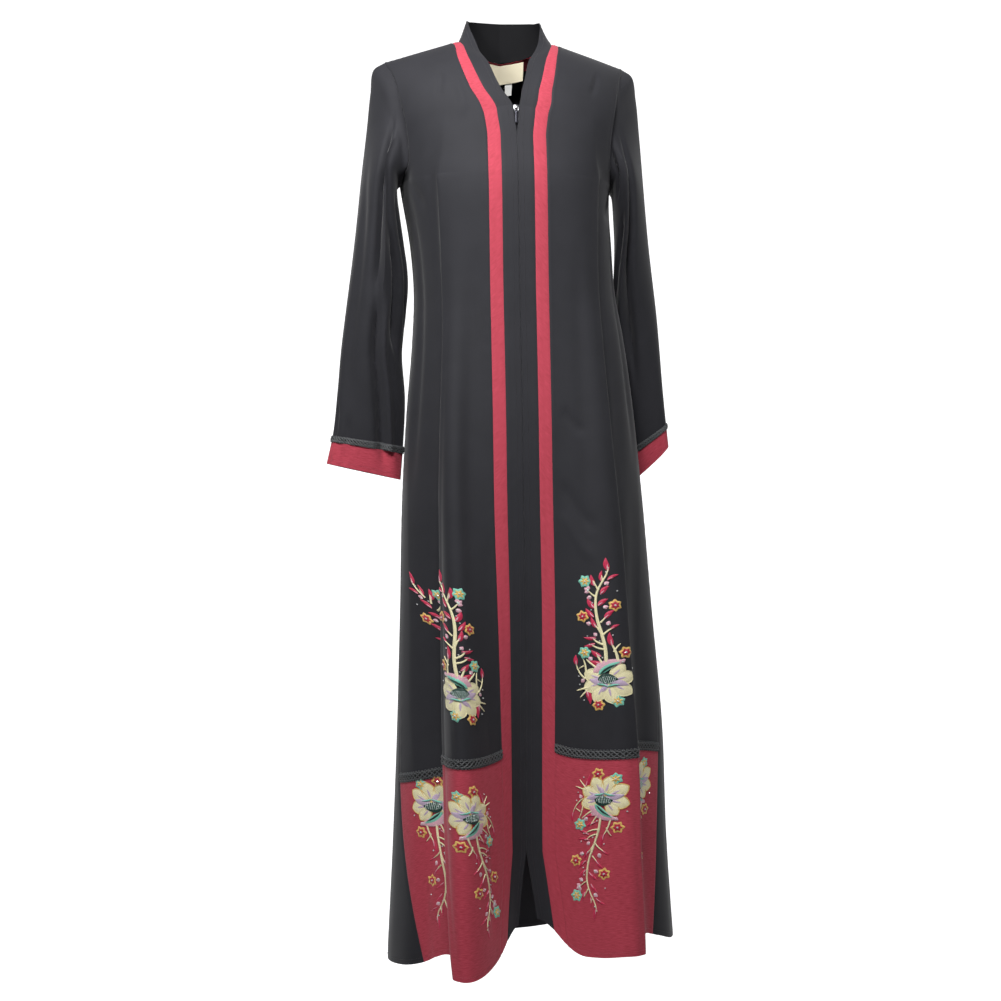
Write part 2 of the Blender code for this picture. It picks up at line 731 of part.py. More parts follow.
def joined_strips(names, grid, normals, sewn_inside, finish):
    """The upper and the lower part of a long strip, joined at the corner by the zip's top.

    sewn_inside says whether the edge nearer the centre front is sewn to another piece.
    """
    corner = len(route_stations()) - 1
    inner = grid - normals * CLOTH
    sides = ("first column", "last column") if sewn_inside else ("last column",)
    upper, lower = names
    above = slice(None, corner + 1)
    below = slice(corner, None)
    sewn_wall(upper, grid[above], inner[above], ("first row", "last row") + sides, finish)
    sewn_wall(lower, grid[below], inner[below], ("first row",) + sides, finish)


def sleeve_at(table, distance, turns):
    """A sleeve's round at a distance down from the armhole, before the armhole's blend."""
    stations = columns(SLEEVE_NAMES, table)
    outer = np.stack([stations["outer_x"], stations["outer_y"], stations["outer_z"]], axis=1)
    inner = np.stack([stations["inner_x"], stations["inner_y"], stations["inner_z"]], axis=1)
    middle = (outer + inner) / 2
    walked = np.concatenate([[0], np.cumsum(np.linalg.norm(np.diff(middle, axis=0), axis=1))])
    place = np.array([smooth(walked, outer[:, i], distance) for i in range(3)])
    other = np.array([smooth(walked, inner[:, i], distance) for i in range(3)])
    depth = smooth(walked, stations["half_depth"], distance)
    half = (place - other) / 2
    centre = (place + other) / 2
    forward = unit(np.array([half[1], -half[0], 0.0])) * depth
    forward[2] = -smooth(walked, columns(SLEEVE_NAMES, table)["front_drop"], distance)
    return centre + np.cos(turns)[:, None] * half + np.sin(turns)[:, None] * forward


def sleeve_length(table):
    """Length of the line down the middle of a sleeve."""
    stations = columns(SLEEVE_NAMES, table)
    middle = np.stack([
        (stations["outer_" + axis] + stations["inner_" + axis]) / 2 for axis in "xyz"
    ], axis=1)
    return float(np.sum(np.linalg.norm(np.diff(middle, axis=0), axis=1)))


def sleeve_turns(armhole):
    """Where each of the armhole's points lies round the sleeve, from the shoulder forwards."""
    middle = (armhole[:, 2].max() + armhole[:, 2].min()) / 2
    half_height = armhole[:, 2].max() - middle
    half_depth = SLEEVE_RIGHT[0][-1]
    return np.arctan2(-armhole[:, 1] / half_depth, (armhole[:, 2] - middle) / half_height)


def sleeve_grid(table, side, distances, armhole):
    """Rounds of a sleeve at some distances, its first one drawn to the armhole's points."""
    turns = sleeve_turns(armhole)
    mirror = np.array([side, 1.0, 1.0])
    start = sleeve_at(table, 0.0, turns) * mirror
    upper = (1 + np.cos(turns[:, None])) / 2
    blend = BLEND_AT_ARMPIT + (BLEND_AT_SHOULDER - BLEND_AT_ARMPIT) * upper
    rounds = []
    for distance in distances:
        plain = sleeve_at(table, distance, turns) * mirror
        rounds.append(plain + (armhole - start) * (1 - ease(distance / blend)))
    return np.array(rounds)


def sleeve_distances(table):
    """Distances of a sleeve's rounds down to the cuff: the last two bound the braid."""
    cuff_top = sleeve_length(table) - CUFF
    crowded = np.linspace(0, 1, SLEEVE_RINGS) ** 1.25
    return np.concatenate([crowded * (cuff_top - CUFF_BRAID), [cuff_top]])


def tube_normals(grid):
    """Normals of a grid that is closed along its rows, facing away from each row's middle."""
    across = np.roll(grid, -1, axis=1) - np.roll(grid, 1, axis=1)
    normals = unit(np.cross(across, np.gradient(grid, axis=0)))
    away = grid - grid.mean(axis=1, keepdims=True)
    return normals if np.sum(normals * away) > 0 else -normals


def armhole_loop(front, back, side):
    """The armhole's points, from the shoulder tip down the front and up the back."""
    top_rows = len(SHARES)
    down_front = front[:top_rows, -1]
    back_column = 0 if side > 0 else -1
    up_back = back[:top_rows, back_column][::-1]
    tip = (down_front[0] + up_back[-1]) / 2
    armpit = (down_front[-1] + up_back[0]) / 2
    return np.concatenate([[tip], down_front[1:-1], [armpit], up_back[1:-1]])


def share_armhole(front_out, back_out, shared, side):
    """Give the front's and back's armhole edges the normals they share with the sleeve."""
    rows = np.arange(len(SHARES))
    front_out[rows, -1] = shared[rows]
    back_out[rows, 0 if side > 0 else -1] = shared[-rows]


# Building

SIDES = {"right": -1, "left": 1}
SLEEVES = {"right": SLEEVE_RIGHT, "left": SLEEVE_LEFT}
ALL_BUT_LAST = ("first row", "first column", "last column")
ALL_ROUND = ALL_BUT_LAST + ("last row",)


def clear_scene():
    for existing in list(bpy.data.objects):
        bpy.data.objects.remove(existing, do_unlink=True)


def work_out_shapes():
    """Points and normals of the back, the fronts and the sleeves, with shared seams."""
    back, back_out = back_grid()
    shapes = {}
    for name, side in SIDES.items():
        front, front_out = front_grid(side)
        armhole = armhole_loop(front, back, side)
        sleeve = sleeve_grid(SLEEVES[name], side, sleeve_distances(SLEEVES[name]), armhole)
        sleeve_out = tube_normals(sleeve)
        body_out = armhole_loop(front_out, back_out, side)
        sleeve_out[0] = mitred(unit(body_out), sleeve_out[0])
        share_armhole(front_out, back_out, sleeve_out[0], side)
        shapes["front_" + name] = (front, front_out)
        shapes["sleeve_" + name] = (sleeve, sleeve_out)
    shapes["back"] = (back, back_out)
    return shapes


def build_body(shapes, finishes):
    """Fronts, hem panels, back, plackets and strips, and the braids on the fronts."""
    back, back_out = shapes["back"]
    sewn_wall("back", back, back - back_out * CLOTH, ALL_BUT_LAST, finishes["crepe"])

    foot = len(SHARES) + ROW_BRAID_FOOT
    for name, side in SIDES.items():
        front, front_out = shapes["front_" + name]
        inner = front - front_out * CLOTH
        sewn_wall("front_" + name, front[:foot], inner[:foot], ALL_ROUND, finishes["crepe"])
        panel = slice(foot - 1, None)
        sewn_wall("hem_panel_" + name, front[panel], inner[panel], ALL_BUT_LAST, finishes["maroon"])
        laid = slice(foot - 2, foot)
        under = front[laid] + front_out[laid] * LAID_ON
        over = under + front_out[laid] * BRAID
        sewn_wall("hem_braid_" + name, over, under, ALL_BUT_LAST, finishes["braid"])

        strip, strip_out = strip_grid(side)
        edge = body_line(front, back, side)
        strip[:len(edge), -1] = edge
        strip_out[:len(edge), -1] = body_line(front_out, back_out, side)
        placket, placket_out = placket_grid(side)
        shared = mitred(strip_out[:, 0], placket_out[:, -1])
        strip_out[:, 0] = shared
        placket_out[:, -1] = shared
        joined_strips(("neck_strip_" + name, "strip_" + name), strip, strip_out, True, finishes["maroon"])
        joined_strips(("collar_" + name, "placket_" + name), placket, placket_out, False, finishes["crepe"])


def build_sleeve(name, shapes, finishes):
    """One sleeve with its braid and its maroon cuff."""
    sleeve, sleeve_out = shapes["sleeve_" + name]
    inner = sleeve - sleeve_out * CLOTH
    ends = ("first row", "last row")
    outer_drawn = draw_back(sleeve, ends, closed=True)
    inner_drawn = draw_back(inner, ends, closed=True)
    wall("sleeve_" + name, outer_drawn, inner_drawn, finishes["crepe"], closed=True)

    under = sleeve[-2:] + sleeve_out[-2:] * LAID_ON
    over = under + sleeve_out[-2:] * BRAID
    wall("cuff_braid_" + name, over, under, finishes["braid"], closed=True)

    length = sleeve_length(SLEEVES[name])
    distances = length - CUFF * np.array([1.0, 0.5, 0.0])
    cuff = sleeve_grid(SLEEVES[name], SIDES[name], distances, sleeve[0])
    cuff_inner = cuff - tube_normals(cuff) * CLOTH
    cuff_inner[0] = inner[-1]
    top = ("first row",)
    cuff = draw_back(cuff, top, closed=True)
    cuff_inner = draw_back(cuff_inner, top, closed=True)
    wall("cuff_" + name, cuff, cuff_inner, finishes["maroon"], closed=True)


def build_zip_tape(finishes):
    """The zip's tape, behind the plackets from the zip's top to the slit."""
    z = skirt_heights(np.zeros(1))[:, 0]
    z = np.concatenate([row_heights_at_neck()[CHEST_ROWS:0:-1], z])
    z = z[z > SLIT_TOP - 1e-4]
    cloth = np.array([-ZIP_TAPE_HALF, 0.0, ZIP_TAPE_HALF])
    rows = []
    for height in z:
        if height >= ARMPIT:
            x = section("middle", height) + cloth
            rows.append(on_chest(x, np.full(3, height), -1))
        else:
            rows.append(on_skirt(cloth, np.full(3, height)))
    grid = np.array(rows)
    normals = grid_normals(grid)
    front = grid - normals * (CLOTH + ZIP_TAPE_BEHIND)
    wall("zip_tape", front, front - normals * ZIP_TAPE, finishes["crepe"])
    return front, normals


def build_neck_label(finishes):
    """The label under the collar at the centre back, and the small tab that hangs below it."""
    station = np.linspace(CENTRE_BACK_STATION, CENTRE_BACK_STATION - 1.2, 60)
    x, z = neck_at("seam", station)
    places = np.linspace(-NECK_LABEL_WIDTH / 2, NECK_LABEL_WIDTH / 2, 7)
    seam_z = np.interp(np.abs(places), x, z)
    top = on_chest(places, seam_z - NECK_LABEL_BELOW_SEAM, 1)
    off_the_cloth = unit(np.array([0.0, -0.75, -0.66])) * (CLOTH + 2 * LAID_ON)
    hang = unit(np.array([0.0, 0.30, -1.0]))
    towards_back = unit(np.array([0.0, 1.0, 0.30]))
    drop = np.linspace(0, NECK_LABEL_DEPTH, 3)[:, None, None]
    face = top[None] + off_the_cloth + hang * drop
    wall("neck_label", face, face - towards_back * LABEL, finishes["cream"])

    tab_x = np.array([SIZE_TAB_X - SIZE_TAB_WIDTH / 2, SIZE_TAB_X + SIZE_TAB_WIDTH / 2])
    tab_top = np.stack([np.interp(tab_x, places, face[0, :, i]) for i in range(3)], axis=1)
    tab_starts = NECK_LABEL_DEPTH - SIZE_TAB_TUCKED
    tab_ends = NECK_LABEL_DEPTH + SIZE_TAB_SHOWS
    tab_drop = np.linspace(tab_starts, tab_ends, 3)[:, None, None]
    tab = tab_top[None] + hang * tab_drop + towards_back * (LAID_ON + LABEL)
    wall("size_tab", tab, tab - towards_back * LABEL, finishes["white"])


def box_into(shape, low, high):
    """Add a box to a bmesh."""
    size = [far - near for near, far in zip(low, high)]
    middle = [(near + far) / 2 for near, far in zip(low, high)]
    place = Matrix.Translation(middle) @ Matrix.Diagonal((*size, 1.0))
    bmesh.ops.create_cube(shape, size=1.0, matrix=place)


def build_profile(name, outline, hole, low, high, finish):
    """A plate with one window: an outline and a hole in two axes, thick along the third.

    outline and hole are (low, high) corners; low and high are the plate's faces.
    """
    shape = bmesh.new()
    rims = []
    for depth in (low, high):
        for (ax, ay), (bx, by) in (outline, hole):
            corners = [(ax, ay), (bx, ay), (bx, by), (ax, by)]
            rims.append([shape.verts.new((x, depth, y)) for x, y in corners])
    outer_low, hole_low, outer_high, hole_high = rims
    for i in range(4):
        j = (i + 1) % 4
        shape.faces.new((outer_low[i], outer_low[j], hole_low[j], hole_low[i]))
        shape.faces.new((outer_high[i], hole_high[i], hole_high[j], outer_high[j]))
        shape.faces.new((outer_low[i], outer_high[i], outer_high[j], outer_low[j]))
        shape.faces.new((hole_low[i], hole_low[j], hole_high[j], hole_high[i]))
    bmesh.ops.recalc_face_normals(shape, faces=shape.faces)
    mesh = bpy.data.meshes.new(name)
    shape.to_mesh(mesh)
    shape.free()
    return add_object(name, mesh, finish)


def slider_frame(tape, tape_normals):
    """The slider's frame on the tape's face: across, out of the cloth, up the cloth."""
    up_cloth = unit(tape[0, 1] - tape[1, 1])
    out = tape_normals[0, 1] - up_cloth * np.dot(tape_normals[0, 1], up_cloth)
    out = unit(out)
    across = np.cross(up_cloth, out)
    seat = tape[0, 1] - up_cloth * (SLIDER_SIZE[2] / 2 + 0.0008)
    frame = Matrix((
        (*across, 0.0),
        (*out, 0.0),
        (*up_cloth, 0.0),
        (0.0, 0.0, 0.0, 1.0),
    )).transposed()
    frame.translation = Vector(seat + out * LAID_ON)
    return frame


def build_slider(frame, finishes):
    """The zip's slider: a plate with a lug that the pull tab's bar goes through."""
    width, thick, length = SLIDER_SIZE
    half_lug = LUG_LENGTH / 2
    lug_top = thick + LUG_INSIDE
    lug = build_profile(
        "zip_slider",
        ((-half_lug, thick * 0.5), (half_lug, lug_top + LUG_CROWN)),
        ((-half_lug + LUG_FOOT, thick), (half_lug - LUG_FOOT, lug_top)),
        -LUG_WIDTH / 2,
        LUG_WIDTH / 2,
        finishes["metal"],
    )
    stand_up = Matrix(((0, 1, 0, 0), (0, 0, 1, 0), (1, 0, 0, 0), (0, 0, 0, 1)))
    lug.data.transform(stand_up)
    shape = bmesh.new()
    box_into(shape, (-width / 2, 0.0, -length / 2), (width / 2, thick, length / 2))
    plate_mesh = bpy.data.meshes.new("slider_plate")
    shape.to_mesh(plate_mesh)
    shape.free()
    plate = bpy.data.objects.new("slider_plate", plate_mesh)
    plate.hide_render = True
    plate.display_type = "WIRE"
    bpy.context.collection.objects.link(plate)
    union = lug.modifiers.new("plate", "BOOLEAN")
    union.operation = "UNION"
    union.object = plate
    lug.matrix_world = frame
    plate.matrix_world = frame
    return lug


def build_pull_tab(frame, finishes):
    """The pull tab, its top bar through the slider's lug and its blade down the placket."""
    width, thick, length = TAB_SIZE
    window_width, window_length = TAB_WINDOW
    tab = build_profile(
        "pull_tab",
        ((-width / 2, -length + TAB_TOP_BAR / 2), (width / 2, TAB_TOP_BAR / 2)),
        (
            (-window_width / 2, -window_length - TAB_TOP_BAR / 2),
            (window_width / 2, -TAB_TOP_BAR / 2),
        ),
        -thick / 2,
        thick / 2,
        finishes["metal"],
    )
    pivot = Vector((0.0, SLIDER_SIZE[1] + LUG_INSIDE - thick / 2 - TAB_BEHIND, 0.0))
    tab.matrix_world = frame @ Matrix.Translation(pivot)
    return tab


def main():
    clear_scene()
    finishes = {
        "crepe": material("black_crepe", BLACK_CREPE, 0.85),
        "maroon": material("maroon_weave", MAROON_WEAVE, 0.80),
        "braid": material("black_braid", BLACK_BRAID, 0.60),
        "cream": material("cream_satin", CREAM_SATIN, 0.55),
        "white": material("white_satin", WHITE_SATIN, 0.55),
        "metal": material("dark_metal", DARK_METAL, 0.35, 1.0),
    }
    shapes = work_out_shapes()
    build_body(shapes, finishes)
    for name in SIDES:
        build_sleeve(name, shapes, finishes)
    tape, tape_normals = build_zip_tape(finishes)
    build_neck_label(finishes)
    frame = slider_frame(tape, tape_normals)
    build_slider(frame, finishes)
    build_pull_tab(frame, finishes)


main()
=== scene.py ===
"""Looks of the abaya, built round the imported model: cloth shells, braids, embroidery and zip.

Metres, +Z up. The front faces -Y and the wearer's left is +X. Each cloth shell is worked out
from the same tables as the solids, at a finer step and with its creases.
"""

import json
import math

import bmesh
import bpy
import numpy as np
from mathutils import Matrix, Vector


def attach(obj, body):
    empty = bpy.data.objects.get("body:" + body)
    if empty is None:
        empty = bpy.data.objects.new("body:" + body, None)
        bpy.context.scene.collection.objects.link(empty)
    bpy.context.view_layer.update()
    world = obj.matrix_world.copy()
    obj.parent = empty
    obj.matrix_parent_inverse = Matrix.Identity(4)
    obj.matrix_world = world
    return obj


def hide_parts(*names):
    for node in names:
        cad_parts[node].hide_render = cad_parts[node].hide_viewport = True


bl_info = {
    "name": "Abaya",
    "version": (1, 0, 0),
    "blender": (4, 5, 0),
    "location": "3D View > Sidebar > Abaya",
    "description": "Cloth, trim, embroidery and stage of a full-length abaya",
    "category": "Object",
}

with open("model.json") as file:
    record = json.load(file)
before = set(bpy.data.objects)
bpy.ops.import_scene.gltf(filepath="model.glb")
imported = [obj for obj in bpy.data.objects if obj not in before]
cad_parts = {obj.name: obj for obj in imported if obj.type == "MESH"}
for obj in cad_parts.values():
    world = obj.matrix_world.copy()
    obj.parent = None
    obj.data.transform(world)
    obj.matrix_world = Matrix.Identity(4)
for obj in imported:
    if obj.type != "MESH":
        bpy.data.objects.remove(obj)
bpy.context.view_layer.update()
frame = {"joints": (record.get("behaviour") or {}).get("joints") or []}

SIDES = {"right": -1, "left": 1}
SIDE_NAMES = {side: name for name, side in SIDES.items()}
MILLIMETRE = 0.001
UP = np.array([0.0, 0.0, 1.0])

# The garment's sizes, as in the solids

PLACKET = 0.0255
STRIP = 0.0205
HEM_BRAID = 0.016
CUFF = 0.039
CUFF_BRAID = 0.0115
ZIP_TAPE_HALF = 0.012
ZIP_TAPE_BEHIND = 0.0021
NECK_LABEL_WIDTH = 0.078
NECK_LABEL_DEPTH = 0.031
NECK_LABEL_BELOW_SEAM = 0.002
SIZE_TAB_WIDTH = 0.0118
SIZE_TAB_X = 0.016
SIZE_TAB_TUCKED = 0.006
SIZE_TAB_SHOWS = 0.020
ARMPIT = -0.235
ZIP_TOP = -0.125
SLIT_TOP = -1.303
HEM_NOMINAL = -1.46
NECK_POINT = (0.086, -0.002)
SHOULDER_TIP = (0.197, -0.036)
SHOULDER_ROUNDING = 0.125
SQUARENESS = 2.35

# How far the open neck hangs towards the right arm
NECK_LEAN = 0.0045

# Seams and stitches
SEAM_GROOVE = 0.0006
SEAM_GROOVE_WIDTH = 0.0012
SEAM_ROLL = 0.0003
PUCKER = 0.00025
PUCKER_PITCH = 0.0095
PUCKER_REACH = 0.009
PUCKER_START = 0.003
PUCKER_DRIFT = 0.047
# The share of a crease's length over which each of its ends fades out
CREASE_END = 0.28
# How near a front's sewn edges its creases have died away
CALM_EDGE = 0.020
# How much deeper a sleeve's creases lie than the table of creases gives them
SLEEVE_CREASE_DEPTH = 1.7
# A cut is a little larger than the piece that hangs, and fills at least this share of its box
CUT_EASE = 1.01
LEAST_CUT_SHARE = 0.31
# Topstitching: its rows' places from the placket's free edge, and how far below the turn-up's
# raw edge the hem's row lies
TOPSTITCHES = (0.0022, 0.0085)
STITCH_IN_TURN_UP = 0.0015
WEAVE_MAP = "weave"
# The radius that a cord's map has round it
CORD_MAP_RADIUS = 0.0005

# Trim
BRAID_WAVE = 0.030
BRAID_CORD = 0.0020
BRAID_LOOP = 0.0011
LOOPS_PER_WAVE = 6
BRAID_RIBBON = (0.0002, 0.0007)
# Across a braid, as shares of its width: its middle, how far the cords swing, where the loops
# stand and how far they reach
BRAID_MIDDLE = 0.5
CORD_SWING = 0.32
LOOP_EDGES = ((0.12, -1), (0.88, 1))
LOOP_REACH = 0.085
CORD_STEPS = 24
LOOP_STEPS = 48
# The label: how far off the cloth it hangs, how thick its ribbon is, how deep it waves, and
# its stitches: from one to the next, half their thickness and how far they stand off it
LABEL_OFF = 0.0021
LABEL_THICK = 0.0006
LABEL_WAVE = 0.0005
LABEL_STITCH = 0.0026
LABEL_THREAD = 0.00016
LABEL_STITCH_OFF = 0.0001
TAB_BEHIND_LABEL = 0.0013
COIL_PITCH = 0.0015
COIL_WIRE = 0.00042
# One turn of the coil: out of the tape and across it
COIL_OUT = (0.0003, 0.0011, 0.0011, 0.0003)
COIL_ACROSS = (0.0024, 0.0022, -0.0002, -0.0004)
ZIP_TAPE_THICK = 0.0009
ZIP_FOOT = SLIT_TOP + 0.014
# The slider about its hinge: how far behind it the tape lies, its bars as places and half sizes
# across, out of the cloth and up, and the arch that the pull tab hangs on
SLIDER_SEAT = -0.0032
SLIDER_BARS = (
    ((0, 0.0012, 0.0002), (0.0036, 0.0010, 0.0050)),
    ((0, 0.0006, -0.0046), (0.0029, 0.0006, 0.0008)),
    ((-0.0033, 0.0007, -0.0006), (0.0006, 0.0009, 0.0042)),
    ((0.0033, 0.0007, -0.0006), (0.0006, 0.0009, 0.0042)),
)
ARCH_FOOT = 0.0015
ARCH_RISE = 0.0037
ARCH_HALF = 0.0034
ARCH_WIRE = 0.0008
ARCH_STEPS = 15
# The pull tab about its hinge: half its width, then how far down its window, its neck, its
# waist and its end lie
TAB_HALF = 0.0026
TAB_WINDOW = 0.0062
TAB_NECK = 0.0090
TAB_WAIST = 0.0150
TAB_END = 0.0258
TAB_THICK = 0.0009
TAB_ROUNDING = 0.00022
TAB_HOLE = ((-0.0013, -0.0006), (0.0013, -0.0006), (0.0013, -0.0052), (-0.0013, -0.0052))
THREAD_FOOT = 0.25
THREADS = (
    "cream", "rose", "pink", "lavender", "mint", "pale_mint", "gold", "crimson", "dark_green",
    "crystal",
)

# Stage. Each light: its place, its size and how wide it spreads, in degrees
FLOOR = -1.62
SOFTBOXES = (
    ("key", (-0.30, -1.55, 0.95), 0.55, 110),
    ("fill", (1.5, -1.9, 0.7), 0.9, 110),
    ("back", (0.9, 1.5, 1.3), 1.2, 180),
    ("side", (-1.3, -1.1, 0.9), 0.45, 110),
)
SENSOR = 36.0
SWEEP_FRONT = -4.2
SWEEP_BACK = 1.6
SWEEP_RADIUS = 1.2
SWEEP_TOP = 3.6
SWEEP_HALF = 5.0
SWEEP_STEPS = 12
# Where the paper's own glow begins and is whole: backwards, out to each side, and up
GLOW_MIDDLE = 0.3
GLOW_BACK = (-0.1, 0.25)
GLOW_SIDE = (2.7, 1.75)
GLOW_UP = (1.9, 1.0)
CAMERA_AZIMUTH = math.radians(7.0)
CAMERA_DISTANCE = 3.0
CAMERA_FRAME = 1.64164
CAMERA_PLACE = (-0.371, -2.977, -0.747)
LIGHTS_AIM = (0.0, -0.05, -0.35)

# How finely the shells are divided
FRONT_COLUMNS = 84
BACK_NECK_COLUMNS = 14
BACK_SHOULDER_COLUMNS = 32
SKIRT_ROWS = 140
BRAID_ROWS = 3
HEM_ROWS = 56
CHEST_ROWS = 24
YOKE_ROWS = 32
SLEEVE_RINGS = 110
CUFF_ROWS = 14
STRIP_COLUMNS = 5
PLACKET_COLUMNS = 7
RING_STEPS = 720

# The body's round at each height: its middle, and its reach from there to each side
SECTION_NAMES = ("z", "middle", "to_right_arm", "to_left_arm", "forward", "backward")
SECTIONS = [
    (-1.480, 0.0260, 0.200, 0.241, 0.152, 0.164),
    (-1.300, 0.0226, 0.188, 0.232, 0.150, 0.161),
    (-1.120, 0.0210, 0.180, 0.227, 0.148, 0.158),
    (-0.943, 0.0190, 0.176, 0.216, 0.146, 0.154),
    (-0.730, 0.0135, 0.171, 0.208, 0.144, 0.148),
    (-0.600, 0.0112, 0.165, 0.199, 0.144, 0.140),
    (-0.484, 0.0088, 0.156, 0.186, 0.144, 0.132),
    (-0.410, 0.0070, 0.153, 0.175, 0.146, 0.130),
    (-0.336, 0.0055, 0.158, 0.171, 0.150, 0.136),
    (-0.235, 0.0040, 0.174, 0.170, 0.150, 0.142),
    (-0.185, 0.0035, 0.181, 0.181, 0.141, 0.137),
    (-0.125, 0.0030, 0.194, 0.194, 0.130, 0.130),
    (-0.060, 0.0000, 0.200, 0.200, 0.120, 0.118),
    (0.000, 0.0000, 0.200, 0.200, 0.112, 0.108),
]
# Folds of the skirt. Angles are degrees round from the centre front, rise and lean are metres
FOLD_NAMES = ("fold", "angle_high", "angle_hem", "half_width", "rise", "lean", "begins", "whole")
FOLDS = [
    ("placket hollow", 1, 1, 13, -0.044, 0.000, -0.60, -1.35),
    ("left front", 34, 30, 12, 0.050, 0.002, -0.20, -1.30),
    ("left hollow", 66, 68, 14, -0.024, 0.000, -0.50, -1.30),
    ("right front", -40, -23, 10, 0.068, 0.010, -0.20, -1.40),
    ("right hollow", -64, -56, 12, -0.016, 0.000, -0.20, -1.35),
    ("left side", 100, 100, 14, 0.026, 0.000, -0.24, -1.20),
    ("right side", -96, -96, 14, 0.016, 0.000, -0.24, -1.20),
    ("left back", 132, 130, 11, 0.034, 0.000, -0.24, -1.30),
    ("right back", -132, -130, 11, 0.034, 0.000, -0.24, -1.30),
    ("left rear", 162, 160, 10, 0.030, 0.000, -0.24, -1.30),
    ("right rear", -162, -160, 10, 0.030, 0.000, -0.24, -1.30),
]

# The hem's height round the ring, and the depth of the maroon panels above it
HEM_LINE_NAMES = ("angle", "hem_z", "panel_depth")
HEM_LINE = [
    (-180, -1.488, 0.306),
    (-150, -1.491, 0.306),
    (-115, -1.497, 0.304),
    (-90, -1.495, 0.292),
    (-65, -1.483, 0.278),
    (-50, -1.468, 0.270),
    (-38, -1.458, 0.271),
    (-31, -1.461, 0.287),
    (-28, -1.469, 0.309),
    (-24, -1.479, 0.320),
    (-13, -1.462, 0.307),
    (-5, -1.420, 0.2912),
    (0, -1.412, 0.2862),
    (5, -1.412, 0.2862),
    (8, -1.424, 0.293),
    (11, -1.443, 0.301),
    (15, -1.459, 0.309),
    (20, -1.461, 0.309),
    (26, -1.457, 0.307),
    (33, -1.455, 0.307),
    (37, -1.450, 0.304),
    (50, -1.450, 0.299),
    (66, -1.449, 0.292),
    (80, -1.460, 0.296),
    (92, -1.472, 0.302),
    (110, -1.463, 0.306),
    (140, -1.478, 0.306),
    (180, -1.488, 0.306),
]

# Cloth from the centre front to each side seam
SIDE_SEAM_NAMES = ("z", "right_arm_side", "left_arm_side")
SIDE_SEAMS = [
    (-1.490, 0.293, 0.320),
    (-1.400, 0.318, 0.334),
    (-1.300, 0.343, 0.346),
    (-1.200, 0.352, 0.350),
    (-1.100, 0.342, 0.348),
    (-0.730, 0.293, 0.310),
    (-0.410, 0.250, 0.266),
]

# Half of the gap between the two plackets
PLACKET_GAP_NAMES = ("z", "half_gap")
PLACKET_GAPS = [
    (-1.440, 0.0190),
    (-1.390, 0.0125),
    (-1.345, 0.0065),
    (-1.303, 0.0003),
    (-0.172, 0.0003),
    (-0.158, 0.0020),
    (-0.140, 0.0046),
    (-0.125, 0.0055),
]

# The front and back armholes: distance from the middle, up the armhole from armpit to tip
ARMHOLE_NAMES = ("share", "front_x", "back_x")
ARMHOLE = [
    (0.00, 0.1720, 0.1720),
    (0.036, 0.1700, 0.1703),
    (0.11, 0.1643, 0.1680),
    (0.20, 0.1625, 0.1687),
    (0.35, 0.1645, 0.1715),
    (0.63, 0.1745, 0.1800),
    (0.88, 0.1865, 0.1890),
    (1.00, 0.1970, 0.1970),
]

# The neck, from the zip's top round to the centre back: the strip's outer edge, the seam
# between strip and placket, and the placket's free edge, which rises into the stand collar
NECK_NAMES = ("station", "outer_x", "outer_z", "seam_x", "seam_z", "edge_x", "edge_y", "edge_z")
NECK = [
    (0, 0.0515, -0.137, 0.0310, -0.130, 0.0055, -0.128, -0.125),
    (1, 0.0680, -0.087, 0.0485, -0.086, 0.0215, -0.115, -0.085),
    (2, 0.0780, -0.048, 0.0605, -0.048, 0.0320, -0.092, -0.050),
    (3, 0.0835, -0.018, 0.0700, -0.018, 0.0465, -0.056, -0.020),
    (4, 0.0860, -0.002, 0.0755, 0.000, 0.0605, -0.002, 0.034),
    (5, 0.0780, -0.010, 0.0640, -0.003, 0.0540, 0.032, 0.044),
    (6, 0.0500, -0.024, 0.0380, -0.012, 0.0320, 0.052, 0.048),
    (7, 0.0000, -0.032, 0.0000, -0.018, 0.0000, 0.060, 0.049),
]
SHOULDER_STATION = 4
CENTRE_BACK_STATION = 7

# The sleeves: the outer and inner ends of each round, how far its front hangs below its
# middle, and half its depth
SLEEVE_NAMES = (
    "outer_x", "outer_y", "outer_z", "inner_x", "inner_y", "inner_z", "front_drop", "half_depth"
)
SLEEVE_RIGHT = [
    (0.1970, 0.000, -0.036, 0.1720, 0.000, -0.2360, 0.000, 0.095),
    (0.2125, 0.000, -0.046, 0.1765, 0.002, -0.2420, 0.000, 0.090),
    (0.2185, 0.000, -0.085, 0.1775, 0.003, -0.2500, 0.000, 0.086),
    (0.2240, 0.002, -0.140, 0.1755, 0.004, -0.2640, 0.000, 0.081),
    (0.2320, 0.004, -0.210, 0.1710, 0.006, -0.2880, 0.000, 0.075),
    (0.2400, 0.006, -0.290, 0.1640, 0.008, -0.3300, 0.000, 0.068),
    (0.2480, 0.008, -0.360, 0.1565, 0.010, -0.3850, 0.000, 0.060),
    (0.2570, 0.010, -0.430, 0.1590, 0.012, -0.4450, 0.000, 0.051),
    (0.2655, 0.012, -0.500, 0.1660, 0.014, -0.5050, 0.000, 0.042),
    (0.2715, 0.014, -0.570, 0.1610, 0.016, -0.5800, 0.000, 0.033),
    (0.2790, 0.016, -0.640, 0.1640, 0.018, -0.6570, 0.000, 0.025),
    (0.2890, 0.018, -0.687, 0.1680, 0.020, -0.7130, 0.000, 0.020),
]
